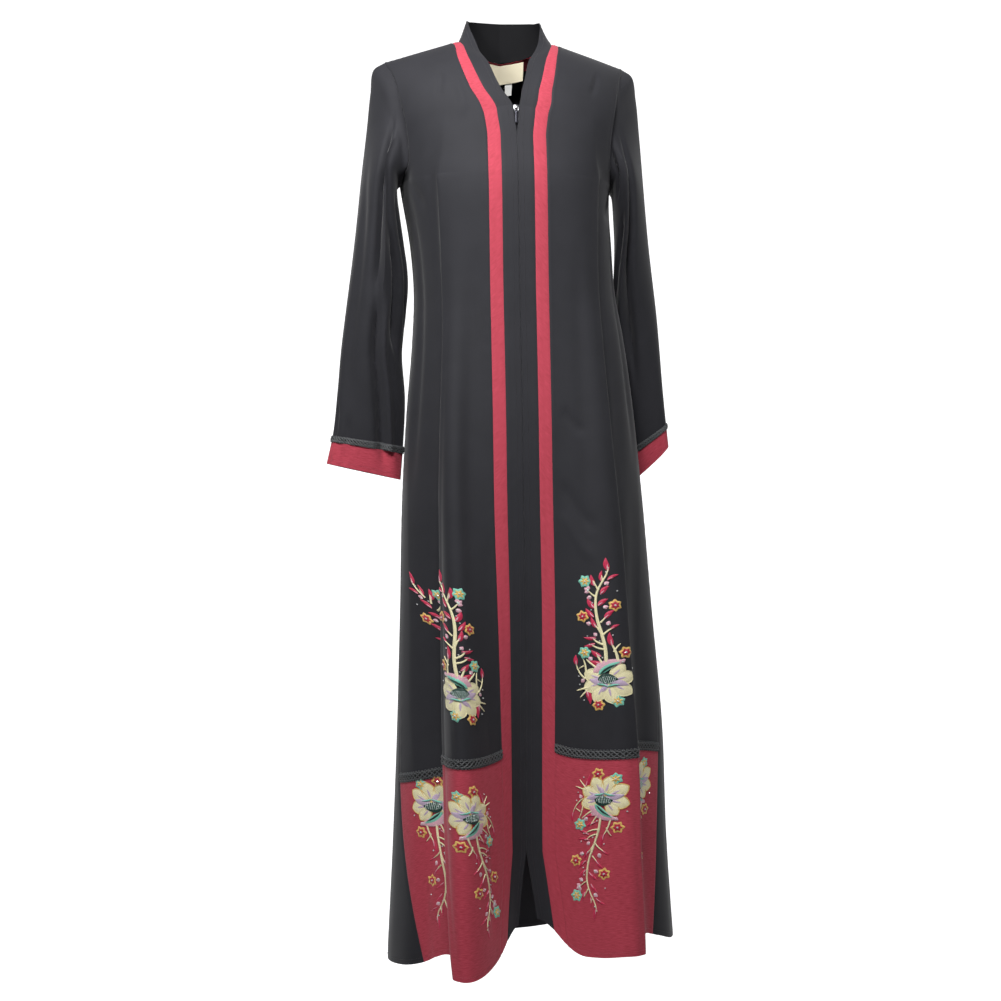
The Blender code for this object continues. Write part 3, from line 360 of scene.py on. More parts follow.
SLEEVE_LEFT = [
    (0.1970, 0.000, -0.036, 0.1720, 0.000, -0.2360, 0.000, 0.095),
    (0.2125, 0.000, -0.046, 0.1785, 0.005, -0.2440, 0.000, 0.090),
    (0.2200, 0.000, -0.085, 0.1810, 0.008, -0.2520, 0.000, 0.085),
    (0.2260, 0.003, -0.140, 0.1830, 0.012, -0.2650, 0.000, 0.080),
    (0.2330, 0.008, -0.210, 0.1855, 0.018, -0.2880, 0.000, 0.073),
    (0.2410, 0.015, -0.290, 0.1900, 0.030, -0.3280, 0.000, 0.064),
    (0.2480, 0.022, -0.370, 0.1960, 0.050, -0.3880, 0.000, 0.054),
    (0.2560, 0.030, -0.450, 0.2040, 0.076, -0.4600, 0.000, 0.043),
    (0.2650, 0.038, -0.530, 0.2110, 0.100, -0.5450, 0.006, 0.034),
    (0.2750, 0.045, -0.600, 0.2120, 0.120, -0.6400, 0.013, 0.028),
    (0.2840, 0.050, -0.660, 0.2110, 0.138, -0.7300, 0.020, 0.023),
]
BLEND_AT_SHOULDER = 0.16
BLEND_AT_ARMPIT = 0.022
LONGEST_MITRE = 1.6


# Creases. Shares run across a piece from 0 to 1, or round a sleeve from its outer edge forwards.
# Down is the height on the body, or the way down a sleeve. Width, height and bend are millimetres
CREASE_NAMES = ("from_share", "from_down", "to_share", "to_down", "width", "height", "bend")
CREASES = {
    "front_right": [
        (0.78, -0.200, 0.80, -0.760, 12.0, -4.0, 5),
        (0.12, -0.300, 0.16, -0.980, 14.0, -2.5, -4),
        (0.24, -0.520, 0.26, -1.080, 9.0, 1.8, 3),
        (0.30, -0.060, 0.42, -0.110, 6.0, -2.0, 3),
        (0.10, -0.074, 0.24, -0.150, 6.0, 1.6, 4),
        (0.88, -0.215, 0.55, -0.290, 9.0, -2.5, 6),
        (0.20, -1.060, 0.21, -1.180, 3.5, -0.9, 0),
        (0.34, -1.070, 0.33, -1.170, 3.0, -0.8, 0),
        (0.10, -1.075, 0.10, -1.170, 3.0, -0.8, 0),
        (0.78, -1.180, 0.66, -1.320, 12.0, -4.0, 5),
        (0.72, -1.300, 0.84, -1.420, 9.0, 3.0, -4),
        (0.14, -1.250, 0.10, -1.440, 10.0, -2.5, 3),
    ],
    "front_left": [
        (0.82, -0.230, 0.78, -0.700, 12.0, -4.5, 5),
        (0.24, -0.300, 0.20, -0.950, 12.0, -2.2, 4),
        (0.62, -0.055, 0.48, -0.105, 6.0, -2.0, -3),
        (0.90, -0.215, 0.60, -0.300, 9.0, -2.5, -6),
        (0.06, -0.600, 0.22, -0.645, 7.0, -2.2, 3),
        (0.04, -0.710, 0.26, -0.800, 8.0, -2.4, 5),
        (0.05, -0.760, 0.24, -0.850, 7.0, 2.2, 4),
        (0.12, -1.065, 0.12, -1.170, 3.5, -0.9, 0),
        (0.21, -1.070, 0.22, -1.175, 3.0, -0.8, 0),
        (0.31, -1.065, 0.31, -1.180, 3.5, -0.9, 0),
        (0.30, -1.230, 0.36, -1.450, 12.0, -3.0, 4),
        (0.80, -1.200, 0.76, -1.420, 12.0, -4.0, 4),
    ],
    "back": [
        (0.10, -0.230, 0.13, -0.800, 13.0, -4.5, 5),
        (0.90, -0.230, 0.88, -0.840, 13.0, -4.5, -5),
        (0.30, -0.120, 0.33, -0.560, 16.0, -2.5, 6),
        (0.68, -0.140, 0.66, -0.620, 15.0, -2.5, -4),
        (0.47, -0.360, 0.48, -1.050, 14.0, 2.5, 4),
        (0.56, -0.480, 0.55, -1.000, 11.0, -2.5, 3),
        (0.22, -0.620, 0.25, -1.300, 14.0, -4.0, -5),
        (0.78, -0.700, 0.74, -1.360, 14.0, -4.0, 5),
        (0.40, -0.900, 0.41, -1.440, 12.0, -4.0, 3),
        (0.62, -0.980, 0.60, -1.460, 12.0, -4.0, -3),
    ],
    "sleeve_right": [
        (0.205, 0.010, 0.215, 0.330, 8.0, -8.0, 2),
        (0.238, 0.010, 0.262, 0.330, 4.5, 3.5, 2),
        (0.235, 0.270, 0.360, 0.590, 8.0, -7.5, -6),
        (0.280, 0.260, 0.410, 0.570, 7.0, 3.0, -6),
        (0.300, 0.150, 0.360, 0.330, 10.0, -9.0, 6),
        (0.360, 0.060, 0.470, 0.260, 10.0, -6.0, 6),
        (0.080, 0.120, 0.110, 0.560, 12.0, -2.5, 5),
        (0.140, 0.530, 0.150, 0.615, 5.0, -1.6, 0),
        (0.050, 0.545, 0.060, 0.615, 5.0, -1.6, 0),
        (0.620, 0.080, 0.700, 0.400, 11.0, -6.0, 5),
        (0.820, 0.150, 0.760, 0.560, 11.0, -5.0, -5),
    ],
    "sleeve_left": [
        (0.195, 0.020, 0.178, 0.500, 8.0, -8.0, 3),
        (0.255, 0.010, 0.262, 0.380, 7.0, 3.5, 0),
        (0.310, 0.120, 0.400, 0.290, 9.0, -8.0, -3),
        (0.290, 0.020, 0.350, 0.075, 6.0, -4.5, 2),
        (0.230, 0.400, 0.320, 0.590, 8.0, -5.0, 4),
        (0.600, 0.080, 0.680, 0.420, 11.0, -6.0, 5),
        (0.840, 0.120, 0.780, 0.540, 11.0, -5.0, -5),
    ],
}
# The deep tuck down each front: where its edge runs, how far the edge hangs over the hollow
# beside it, and how deep the hollow is, both in millimetres
TUCK_NAMES = ("z", "share", "over", "deep")
TUCKS = {
    "right": [
        (-1.500, 0.40, 16.0, 26.0),
        (-1.400, 0.42, 17.0, 30.0),
        (-1.300, 0.44, 18.0, 32.0),
        (-1.200, 0.46, 18.0, 32.0),
        (-1.100, 0.48, 17.0, 32.0),
        (-0.950, 0.43, 15.0, 28.0),
        (-0.750, 0.385, 11.0, 19.0),
        (-0.560, 0.385, 6.0, 11.0),
        (-0.400, 0.40, 3.0, 6.0),
        (-0.260, 0.385, 2.0, 4.0),
        (-0.170, 0.39, 0.5, 1.0),
        (-0.120, 0.39, 0.0, 0.0),
    ],
    "left": [
        (-1.500, 0.49, 9.0, 20.0),
        (-1.370, 0.47, 10.0, 24.0),
        (-1.260, 0.455, 10.0, 25.0),
        (-1.140, 0.43, 10.0, 24.0),
        (-1.000, 0.395, 9.0, 20.0),
        (-0.810, 0.400, 7.0, 14.0),
        (-0.630, 0.385, 5.0, 9.0),
        (-0.430, 0.410, 3.0, 6.0),
        (-0.270, 0.460, 2.0, 4.0),
        (-0.170, 0.520, 0.5, 1.0),
        (-0.120, 0.540, 0.0, 0.0),
    ],
}
# Across a tuck: millimetres from its edge, and how much of over and deep the cloth takes there
TUCK_ACROSS = (-75, -38, -12, 0, 5, 12, 35, 70, 115)
TUCK_OVER = (0, 0.28, 0.85, 1.0, 0.35, -0.5, -0.45, -0.2, 0)
TUCK_DEEP = (0, -0.02, -0.07, 0.0, 0.55, 1.0, 0.85, 0.4, 0)

# One flower spray, in millimetres from the middle of its blossom: out from the centre front, and
# up the cloth. It is the builder's own, laid out as loosely as such sprays are
SPRAY_SCALE = 0.93
STEM = [
    (-2, 22), (-4, 52), (-10, 78), (-17, 102), (-20, 126), (-18, 146), (-11, 163), (-4, 176),
    (0, 190),
]
STEM_WIDTHS = (5.4, 5.0, 4.2, 3.0, 1.8)
SPRAY_FLOWER_NAMES = ("out", "up", "kind", "size")
SPRAY_FLOWERS = [
    (-37, 166, "mint", 21.0),
    (-37, 46, "mint", 21.0),
    (16, -34, "mint", 20.0),
    (9, 126, "gold", 20.0),
    (-41, 107, "gold", 20.0),
    (25, 47, "gold", 20.0),
    (-12, -41, "gold", 20.5),
]
# Satin-stitched leaves, each from its foot, at an angle in degrees
LEAF_NAMES = ("out", "up", "angle", "length", "width", "thread")
LEAVES = [
    (0, 184, 100, 22, 8.5, "rose"),
    (-11, 166, 86, 18, 6.0, "rose"),
    (-2, 168, 30, 19, 5.5, "rose"),
    (-12, 144, 50, 19, 7.5, "rose"),
    (-21, 158, 108, 20, 8.0, "rose"),
    (-21, 121, 128, 20, 8.5, "rose"),
    (-16, 125, 38, 19, 7.5, "rose"),
    (-22, 106, 134, 20, 8.0, "rose"),
    (-6, 103, 47, 20, 7.5, "rose"),
    (-18, 88, 116, 20, 7.0, "rose"),
    (3, 86, 32, 14, 5.0, "rose"),
    (6, 58, 101, 23, 8.0, "rose"),
    (-18, 71, 178, 21, 5.5, "rose"),
    (-20, 62, 196, 19, 6.0, "rose"),
    (-10, 40, 148, 19, 8.0, "rose"),
    (-8, 28, 166, 21, 8.0, "rose"),
    (-50, 25, 96, 17, 7.5, "rose"),
    (-33, -17, -72, 24, 9.0, "rose"),
    (-6, 160, 34, 8, 7.0, "pink"),
    (-8, 121, 20, 8, 6.5, "pink"),
    (-27, 95, 170, 8, 7.0, "pink"),
    (-1, 92, 70, 8, 7.0, "pink"),
    (-17, 75, 140, 7, 6.5, "pink"),
    (-24, 34, 140, 8, 7.5, "pink"),
    (-13, 24, 120, 8, 7.5, "pink"),
    (-38, 2, 240, 7, 6.5, "pink"),
    (-27, 141, 205, 8, 7.0, "pink"),
    (-31, 151, 150, 8, 6.5, "pink"),
    (-31, 151, 95, 8, 6.5, "pink"),
    (-31, 151, 210, 8, 6.5, "pink"),
    (19, 30, 40, 8, 6.5, "pink"),
]
# Cream strokes: side shoots, tendrils and the short roots beside the blossom
STROKE_NAMES = ("out", "up", "to_out", "to_up", "bend", "width")
STROKES = [
    (14, 30, 4, 62, -2, 4.2),
    (8, 48, 17, 62, 1, 3.0),
    (-12, 97, -3, 107, 0, 3.0),
    (-9, 74, -20, 92, -1, 3.4),
    (-8, 76, 6, 88, 1, 3.2),
    (-6, 60, -24, 71, 2, 3.6),
    (-4, 52, -26, 60, 2, 3.4),
    (-19, 140, -31, 150, 1, 3.0),
    (-16, 152, -24, 168, 0, 3.0),
    (-8, 166, -11, 177, 0, 2.6),
    (-4, 24, -18, 46, 1, 3.8),
    (-12, 18, -34, 35, 1, 3.8),
    (-35, 2, -51, 28, 3, 3.0),
    (-34, 14, -39, 35, -1, 3.2),
    (-38, 24, -46, 19, 0, 2.4),
    (-28, -12, -49, -18, 0, 3.4),
    (-28, -13, -43, -30, 0, 3.4),
    (-24, -16, -22, -30, 2, 3.0),
]
# The blossom's pointed petals: their angle round its middle, their length and their width
PETAL_START = 5
PETAL_NAMES = ("angle", "length", "width")
PETALS = [
    (12, 34, 22),
    (48, 30, 19),
    (162, 33, 23),
    (-158, 34, 22),
    (-118, 35, 21),
    (-76, 34, 21),
    (-33, 36, 22),
]
# What lies over the petals: the hood, its leaf, the inner petals and the dark middle, each with
# how far it is raised
HEART_NAMES = ("out", "up", "angle", "length", "width", "lift", "thread")
HEART = [
    (-22, 13, 24, 50, 17.0, 0.9, "pink"),
    (-13, 10, 36, 36, 10.5, 1.5, "mint"),
    (-10, 11, 36, 28, 3.5, 2.6, "dark_green"),
    (-2, -2, 172, 26, 13.0, 1.0, "lavender"),
    (4, -4, -8, 26, 12.0, 1.0, "lavender"),
    (-1, -4, -112, 17, 8.0, 1.0, "lavender"),
    (-14, 1, 2, 29, 17.0, 1.7, "dark_green"),
    (-15, -6, -14, 17, 3.0, 2.3, "mint"),
    (1, -10, 12, 17, 3.0, 2.3, "mint"),
]
CRYSTALS = [
    (-8, 38), (-13, 66), (-20, 92), (-25, 130), (-14, 156), (-4, 182), (-33, 74), (6, 76),
    (12, 150), (-46, 6), (-44, -8), (-36, -34), (36, 20), (-27, 118), (-29, 60),
]
# Where the sprays lie: cloth from the centre front, height of the blossom, the way that it
# points, its lean, how much thinner its lines are on the maroon, and the cloth distance from
# which it shows, where the rest lies inside a tuck
SPRAY_NAMES = ("piece", "cloth", "up_at", "points", "lean", "thin", "shows_from")
SPRAYS = [
    ("right", 0.128, -1.046, 1, 0.13, 1.0, 0.0),
    ("left", 0.128, -1.028, 1, 0.0, 1.0, 0.0),
    ("right", 0.184, -1.053, 1, 0.46, 1.0, 0.222),
    ("right", 0.128, -1.232, -1, -0.13, 0.7, 0.0),
    ("left", 0.128, -1.212, -1, -0.06, 0.7, 0.0),
    ("right", 0.278, -1.232, -1, -0.06, 0.7, 0.0),
    ("left", 0.292, -1.206, -1, -0.04, 0.7, 0.0),
]


# Colours and numbers

def from_hex(colour):
    """A display colour such as #39383E as linear red, green, blue and alpha."""
    channels = [int(colour[i:i + 2], 16) / 255 for i in (1, 3, 5)]
    linear = [c / 12.92 if c <= 0.04045 else ((c + 0.055) / 1.055) ** 2.4 for c in channels]
    return (*linear, 1.0)


def columns(names, rows):
    """A table's columns by name, as arrays."""
    return {name: np.array([row[i] for row in rows]) for i, name in enumerate(names)}


def by_name(names, rows):
    """A table's rows, each with its values by name."""
    return [dict(zip(names, row)) for row in rows]


SECTION = columns(SECTION_NAMES, SECTIONS)
HEM = columns(HEM_LINE_NAMES, HEM_LINE)
SIDE = columns(SIDE_SEAM_NAMES, sorted(SIDE_SEAMS))
GAP = columns(PLACKET_GAP_NAMES, PLACKET_GAPS)
ARM = columns(ARMHOLE_NAMES, ARMHOLE)
NECKLINE = columns(NECK_NAMES, NECK)
SLEEVES = {"right": SLEEVE_RIGHT, "left": SLEEVE_LEFT}
FOLD_ROWS = by_name(FOLD_NAMES, FOLDS)
CREASE_ROWS = {piece: by_name(CREASE_NAMES, rows) for piece, rows in CREASES.items()}
TUCK = {name: columns(TUCK_NAMES, rows) for name, rows in TUCKS.items()}


def smooth(known_x, known_y, x):
    """A smooth curve through a table's points, read at x."""
    known_x = np.asarray(known_x, float)
    known_y = np.asarray(known_y, float)
    slope = np.gradient(known_y, known_x)
    x = np.clip(x, known_x[0], known_x[-1])
    i = np.clip(np.searchsorted(known_x, x) - 1, 0, len(known_x) - 2)
    step = known_x[i + 1] - known_x[i]
    t = (x - known_x[i]) / step
    return (
        known_y[i] * (1 + 2 * t) * (1 - t) ** 2
        + slope[i] * step * t * (1 - t) ** 2
        + known_y[i + 1] * t * t * (3 - 2 * t)
        + slope[i + 1] * step * t * t * (t - 1)
    )


def ease(t):
    """0 below 0, 1 above 1, and smooth between."""
    t = np.clip(t, 0.0, 1.0)
    return t * t * (3 - 2 * t)


def unit(vectors):
    """Vectors at length 1."""
    return vectors / np.maximum(np.linalg.norm(vectors, axis=-1, keepdims=True), 1e-12)


def walk(path):
    """How far each point of a line lies along it."""
    return np.concatenate([[0], np.cumsum(np.linalg.norm(np.diff(path, axis=0), axis=1))])


def read_at(at, walked, points):
    """The points of a line, read at distances along it."""
    return np.stack([np.interp(at, walked, points[:, i]) for i in range(3)], axis=1)


def between(values, row, column):
    """Values of a grid, read between its rows and columns."""
    r = np.clip(row.astype(int), 0, len(values) - 2)
    c = np.clip(column.astype(int), 0, values.shape[1] - 2)
    up = (row - r)[..., None]
    on = (column - c)[..., None]
    below = values[r, c] * (1 - on) + values[r, c + 1] * on
    above = values[r + 1, c] * (1 - on) + values[r + 1, c + 1] * on
    return below * (1 - up) + above * up


# The skirt, as an even map of heights and distances round the cloth

def section(name, z):
    """One column of the body's sections at height z."""
    return smooth(SECTION["z"], SECTION[name], z)


def ring(angle, z):
    """Plan of the body at height z: x and y at an angle round from the centre front."""
    s = np.sin(angle)
    c = np.cos(angle)
    sideways = np.where(s > 0, section("to_left_arm", z), section("to_right_arm", z))
    deep = np.where(c > 0, section("forward", z), section("backward", z))
    x = section("middle", z) + sideways * np.sign(s) * np.abs(s) ** (2 / SQUARENESS)
    y = -deep * np.sign(c) * np.abs(c) ** (2 / SQUARENESS)
    degrees = np.degrees(angle)
    for fold in FOLD_ROWS:
        begins = fold["begins"]
        grown = ease((begins - z) / (begins - fold["whole"]))
        down = np.clip((begins - z) / (begins - SECTION["z"][0]), 0, 1)
        crest = fold["angle_high"] + (fold["angle_hem"] - fold["angle_high"]) * down
        off = (degrees - crest + 180) % 360 - 180
        bump = np.exp(-(off / fold["half_width"]) ** 2) * grown
        x = x + bump * (fold["rise"] * s + fold["lean"] * c)
        y = y + bump * (-fold["rise"] * c + fold["lean"] * s)
    return x, y


def walk_ring(z):
    """Rings at heights z: their angles, points, and the cloth walked round from the front."""
    angle = np.linspace(0, 2 * math.pi, RING_STEPS + 1)
    x, y = ring(angle[None, :], np.asarray(z, float)[:, None])
    steps = np.hypot(np.diff(x, axis=1), np.diff(y, axis=1))
    walked = np.concatenate([np.zeros((len(x), 1)), np.cumsum(steps, axis=1)], axis=1)
    return angle, x, y, walked


MAP_HEIGHTS = np.linspace(-1.540, -0.220, 331)
MAP_CLOTH = np.linspace(-0.46, 1.62, 2081)


def map_of_skirt():
    """Plan points of the skirt at each height and cloth distance, and the rounds."""
    _, x, y, walked = walk_ring(MAP_HEIGHTS)
    plan = np.empty((len(MAP_HEIGHTS), len(MAP_CLOTH), 2))
    for row, distances in enumerate(walked):
        wrapped = MAP_CLOTH % distances[-1]
        plan[row, :, 0] = np.interp(wrapped, distances, x[row])
        plan[row, :, 1] = np.interp(wrapped, distances, y[row])
    return plan, walked[:, -1]


SKIRT_MAP, SKIRT_ROUNDS = map_of_skirt()


def on_skirt(cloth, z):
    """Points at a distance along the cloth from the centre front, left positive, at height z."""
    cloth, z = np.broadcast_arrays(np.asarray(cloth, float), np.asarray(z, float))
    row = (z - MAP_HEIGHTS[0]) / (MAP_HEIGHTS[1] - MAP_HEIGHTS[0])
    column = (cloth - MAP_CLOTH[0]) / (MAP_CLOTH[1] - MAP_CLOTH[0])
    return np.concatenate([between(SKIRT_MAP, row, column), z[..., None]], axis=-1)


def facing_out(normals, points):
    """Normals turned as a whole to face away from the part's upright axis."""
    away = points * np.array([1.0, 1.0, 0.0])
    return normals if np.sum(normals * away) > 0 else -normals


def skirt_normals(cloth, z):
    """Normals of the skirt, the same for two pieces that meet there."""
    step = 0.006
    across = on_skirt(cloth + step, z) - on_skirt(cloth - step, z)
    down = on_skirt(cloth, z - step) - on_skirt(cloth, z + step)
    return facing_out(unit(np.cross(across, down)), on_skirt(cloth, z))


def round_at(z):
    """The whole round of the cloth at height z."""
    return np.interp(z, MAP_HEIGHTS, SKIRT_ROUNDS)


def angle_at_hem(cloth):
    """Degrees round from the centre front of a place along the cloth, near the hem."""
    angle, _, _, walked = walk_ring([HEM_NOMINAL])
    degrees = np.degrees(np.interp(np.asarray(cloth) % walked[0, -1], walked[0], angle))
    return (degrees + 180) % 360 - 180


def half_gap(z):
    """Half of the gap between the plackets at height z."""
    return np.interp(z, GAP["z"], GAP["half_gap"])


def quarter_round(side):
    """Cloth from the centre front to the armpit."""
    angle, _, _, walked = walk_ring([ARMPIT])
    quarter = np.interp(math.pi / 2, angle, walked[0])
    three_quarters = np.interp(3 * math.pi / 2, angle, walked[0])
    return quarter if side > 0 else walked[0, -1] - three_quarters


def side_seam(z, side):
    """Cloth from the centre front to the side seam; side is 1 for the wearer's left."""
    name = "left_arm_side" if side > 0 else "right_arm_side"
    known_z = np.append(SIDE["z"], ARMPIT)
    known = np.append(SIDE[name], quarter_round(side))
    return smooth(known_z, known, z)


def strip_edge(z):
    """Cloth from the centre front to the strip's outer edge."""
    return half_gap(z) + PLACKET + STRIP


def hem_and_braid(cloth):
    """Heights of the hem and of the braid's foot at places along the cloth."""
    angle = angle_at_hem(cloth)
    hem = smooth(HEM["angle"], HEM["hem_z"], angle)
    return hem, hem + smooth(HEM["angle"], HEM["panel_depth"], angle)


def skirt_heights(cloth):
    """Heights of the skirt's rows over places along the cloth, armpit first and hem last."""
    hem, braid_foot = hem_and_braid(cloth)
    braid_top = braid_foot + HEM_BRAID
    upper = ARMPIT + (braid_top - ARMPIT) * np.linspace(0, 1, SKIRT_ROWS + 1)[:, None]
    braid = braid_top + (braid_foot - braid_top) * np.linspace(0, 1, BRAID_ROWS + 1)[1:, None]
    lower = braid_foot + (hem - braid_foot) * hem_steps(HEM_ROWS)[1:, None]
    return np.concatenate([upper, braid, lower])


ROW_BRAID_FOOT = SKIRT_ROWS + BRAID_ROWS


def skirt_grid(first, last, share, side):
    """Cloth distances and heights of a panel between two edges, at shares of its width.

    first and last give each edge's cloth distance at a height.
    """
    z = skirt_heights(side * (first(HEM_NOMINAL) * (1 - share) + last(HEM_NOMINAL) * share))
    cloth = side * (first(z) * (1 - share) + last(z) * share)
    return cloth, z


def hem_steps(count):
    """Shares from 0 to 1 that lie closer together towards 1."""
    return 1 - (1 - np.linspace(0, 1, count + 1)) ** 1.25


def front_columns():
    """Shares of a front's columns, which lie closer together at its edges and at its tuck."""
    fine = np.linspace(0, 1, 2001)
    ends = np.exp(-(fine / 0.04) ** 2) + np.exp(-((1 - fine) / 0.04) ** 2)
    crowding = 1 + 1.2 * ends + 2.0 * np.exp(-((fine - 0.43) / 0.09) ** 2)
    reached = np.concatenate([[0], np.cumsum((crowding[1:] + crowding[:-1]) / 2)])
    return np.interp(np.linspace(0, reached[-1], FRONT_COLUMNS + 1), reached, fine)


# The chest and the neck

STRIP_CORNER = NECKLINE["outer_z"][0]
CHEST_SHARE = (STRIP_CORNER - ARMPIT) / (NECK_POINT[1] - ARMPIT)
SHARES = np.concatenate([
    CHEST_SHARE * np.linspace(0, 1, CHEST_ROWS + 1)[:-1] ** 1.6,
    1 - (1 - CHEST_SHARE) * (1 - np.linspace(0, 1, YOKE_ROWS + 1)) ** 1.7,
])


def shoulder_height(x):
    """Height of the shoulder seam, or of the neck's rim, over a place x."""
    known_x = (0.0, NECKLINE["seam_x"][SHOULDER_STATION], NECK_POINT[0], SHOULDER_TIP[0], 0.24)
    known_z = (0.0, 0.0, NECK_POINT[1], SHOULDER_TIP[1], SHOULDER_TIP[1] - 0.015)
    return np.interp(np.abs(x), known_x, known_z)


def on_chest(x, z, side):
    """Points of the front (side -1) or the back (side 1) above the armpits, at x and height z."""
    x, z = np.broadcast_arrays(np.asarray(x, float), np.asarray(z, float))
    off = x - section("middle", z)
    reach = np.where(off > 0, section("to_left_arm", z), section("to_right_arm", z))
    deep = section("forward" if side < 0 else "backward", z)
    inside = 1 - np.clip(np.abs(off) / reach, 0, 1) ** SQUARENESS
    below = np.clip((shoulder_height(x) - z) / SHOULDER_ROUNDING, 0, 1)
    dome = np.sqrt(np.clip(1 - (1 - below) ** 2, 0, 1))
    y = side * deep * inside ** (1 / SQUARENESS) * dome
    return np.stack([x, y, z], axis=-1)


def grid_normals(grid):
    """Normals of a grid of points, from its own neighbours."""
    normals = np.cross(np.gradient(grid, axis=1), np.gradient(grid, axis=0))
    return facing_out(unit(normals), grid)


def neck_at(prefix, station):
    """x and z of one of the neck's lines at a station."""
    x = smooth(NECKLINE["station"], NECKLINE[prefix + "_x"], station)
    z = smooth(NECKLINE["station"], NECKLINE[prefix + "_z"], station)
    return x, z


def station_of_row(z):
    """The neck station whose strip has its outer edge at height z, before the shoulder."""
    stations = np.linspace(0, SHOULDER_STATION, 400)
    return np.interp(z, neck_at("outer", stations)[1], stations)


def front_middle(z):
    """Middle of the open neck, which hangs a little towards the right arm."""
    return section("middle", z) - NECK_LEAN * ease((z - ZIP_TOP) / 0.030) * ease(-z / 0.045)


def row_heights_at_neck():
    """Heights of the rows above the armpits along the strip's outer edge."""
    return ARMPIT + SHARES * (NECK_POINT[1] - ARMPIT)


def shoulder_normal(side):
    """The cloth's normal along the shoulder seam."""
    run = SHOULDER_TIP[0] - NECK_POINT[0]
    drop = NECK_POINT[1] - SHOULDER_TIP[1]
    return np.array([side * drop, 0.0, run]) / math.hypot(drop, run)


# The cut pieces' outer surfaces: each returns its points and its normals

def front_grid(side):
    """A front from its strip seam to the side seam and armhole, shoulder first, hem last."""
    share = front_columns()
    cloth, z = skirt_grid(strip_edge, lambda height: side_seam(height, side), share, side)
    skirt = on_skirt(cloth, z)
    skirt_out = skirt_normals(cloth, z)

    armpit_x = skirt[0, :, 0]
    armpit_share = (armpit_x - armpit_x[0]) / (armpit_x[-1] - armpit_x[0])
    top_x = NECK_POINT[0] + (SHOULDER_TIP[0] - NECK_POINT[0]) * share
    top_z = shoulder_height(top_x)
    rows = []
    for row_share, row_z in zip(SHARES, row_heights_at_neck()):
        inner = front_middle(row_z) * side
        if row_z < STRIP_CORNER - 1e-6:
            inner += strip_edge(row_z)
        else:
            inner += neck_at("outer", station_of_row(row_z))[0]
        outer = smooth(ARM["share"], ARM["front_x"], row_share)
        outer += (side * armpit_x[-1] - ARM["front_x"][0]) * (1 - row_share) ** 4
        blend = armpit_share + (share - armpit_share) * ease(row_share)
        x = side * (inner + (outer - inner) * blend)
        rows.append(on_chest(x, ARMPIT + row_share * (top_z - ARMPIT), -1))
    chest = np.array(rows)
    chest[0] = skirt[0]
    chest[-1, :, 1] = 0.0
    chest_out = grid_normals(chest)
    chest_out[0] = skirt_out[0]
    chest_out[-1] = shoulder_normal(side)
    grid = np.concatenate([chest[::-1], skirt[1:]])
    return grid, np.concatenate([chest_out[::-1], skirt_out[1:]])


def back_shares():
    """How far from the middle each of the back's columns lies, 1 at the side seams."""
    whole = BACK_NECK_COLUMNS + BACK_SHOULDER_COLUMNS
    neck = BACK_NECK_COLUMNS / whole
    rim = np.linspace(0, neck, BACK_NECK_COLUMNS + 1)
    even = np.linspace(0, 1, BACK_SHOULDER_COLUMNS + 1)[1:]
    shoulder = even * 0.6 + (1 - (1 - even) ** 2) * 0.4
    return rim, neck, shoulder


def back_grid():
    """The back from side seam to side seam, neck and shoulders first, hem last."""
    rim, neck, shoulder = back_shares()
    half = np.concatenate([rim, neck + (1 - neck) * shoulder])
    from_middle = np.concatenate([half[::-1], -half[1:]])
    share = (1 - from_middle) / 2

    def edges(z):
        return side_seam(z, 1), round_at(z) - side_seam(z, -1)

    low, high = edges(np.array([HEM_NOMINAL]))
    z = skirt_heights(low[0] + (high[0] - low[0]) * share)
    first, last = edges(z)
    cloth = first * (1 - share) + last * share
    skirt = on_skirt(cloth, z)
    skirt_out = skirt_normals(cloth, z)

    stations = np.linspace(CENTRE_BACK_STATION, SHOULDER_STATION, BACK_NECK_COLUMNS + 1)
    rim_x, rim_z = neck_at("outer", stations)
    along = NECK_POINT[0] + (SHOULDER_TIP[0] - NECK_POINT[0]) * shoulder
    half_x = np.concatenate([rim_x, along])
    half_z = np.concatenate([rim_z, shoulder_height(along)])
    top_x = np.concatenate([half_x[::-1], -half_x[1:]])
    top_z = np.concatenate([half_z[::-1], half_z[1:]])
    armpit_x = skirt[0, :, 0]
    rows = []
    for row_share in SHARES:
        reach = smooth(ARM["share"], ARM["back_x"], row_share)
        x = armpit_x + (top_x - armpit_x) * ease(row_share)
        left_off = reach + (armpit_x[0] - ARM["back_x"][0]) * (1 - row_share) ** 4 - x[0]
        right_off = -reach + (armpit_x[-1] + ARM["back_x"][0]) * (1 - row_share) ** 4 - x[-1]
        x = x + np.where(from_middle > 0, left_off, right_off) * from_middle ** 2
        rows.append(on_chest(x, ARMPIT + row_share * (top_z - ARMPIT), 1))
    chest = np.array(rows)
    chest[0] = skirt[0]
    on_shoulder = np.abs(top_x) >= NECK_POINT[0] - 1e-6
    chest[-1, on_shoulder, 1] = 0.0
    chest_out = grid_normals(chest)
    chest_out[0] = skirt_out[0]
    for column in np.flatnonzero(on_shoulder):
        chest_out[-1, column] = shoulder_normal(np.sign(top_x[column]))
    grid = np.concatenate([chest[::-1], skirt[1:]])
    return grid, np.concatenate([chest_out[::-1], skirt_out[1:]])


def route_stations():
    """Neck stations of the strip's and placket's rows, from the zip's top to the centre back."""
    heights = row_heights_at_neck()
    front = station_of_row(heights[heights > STRIP_CORNER - 1e-6])
    back = np.linspace(SHOULDER_STATION, CENTRE_BACK_STATION, BACK_NECK_COLUMNS + 1)[1:]
    return np.concatenate([front, back])


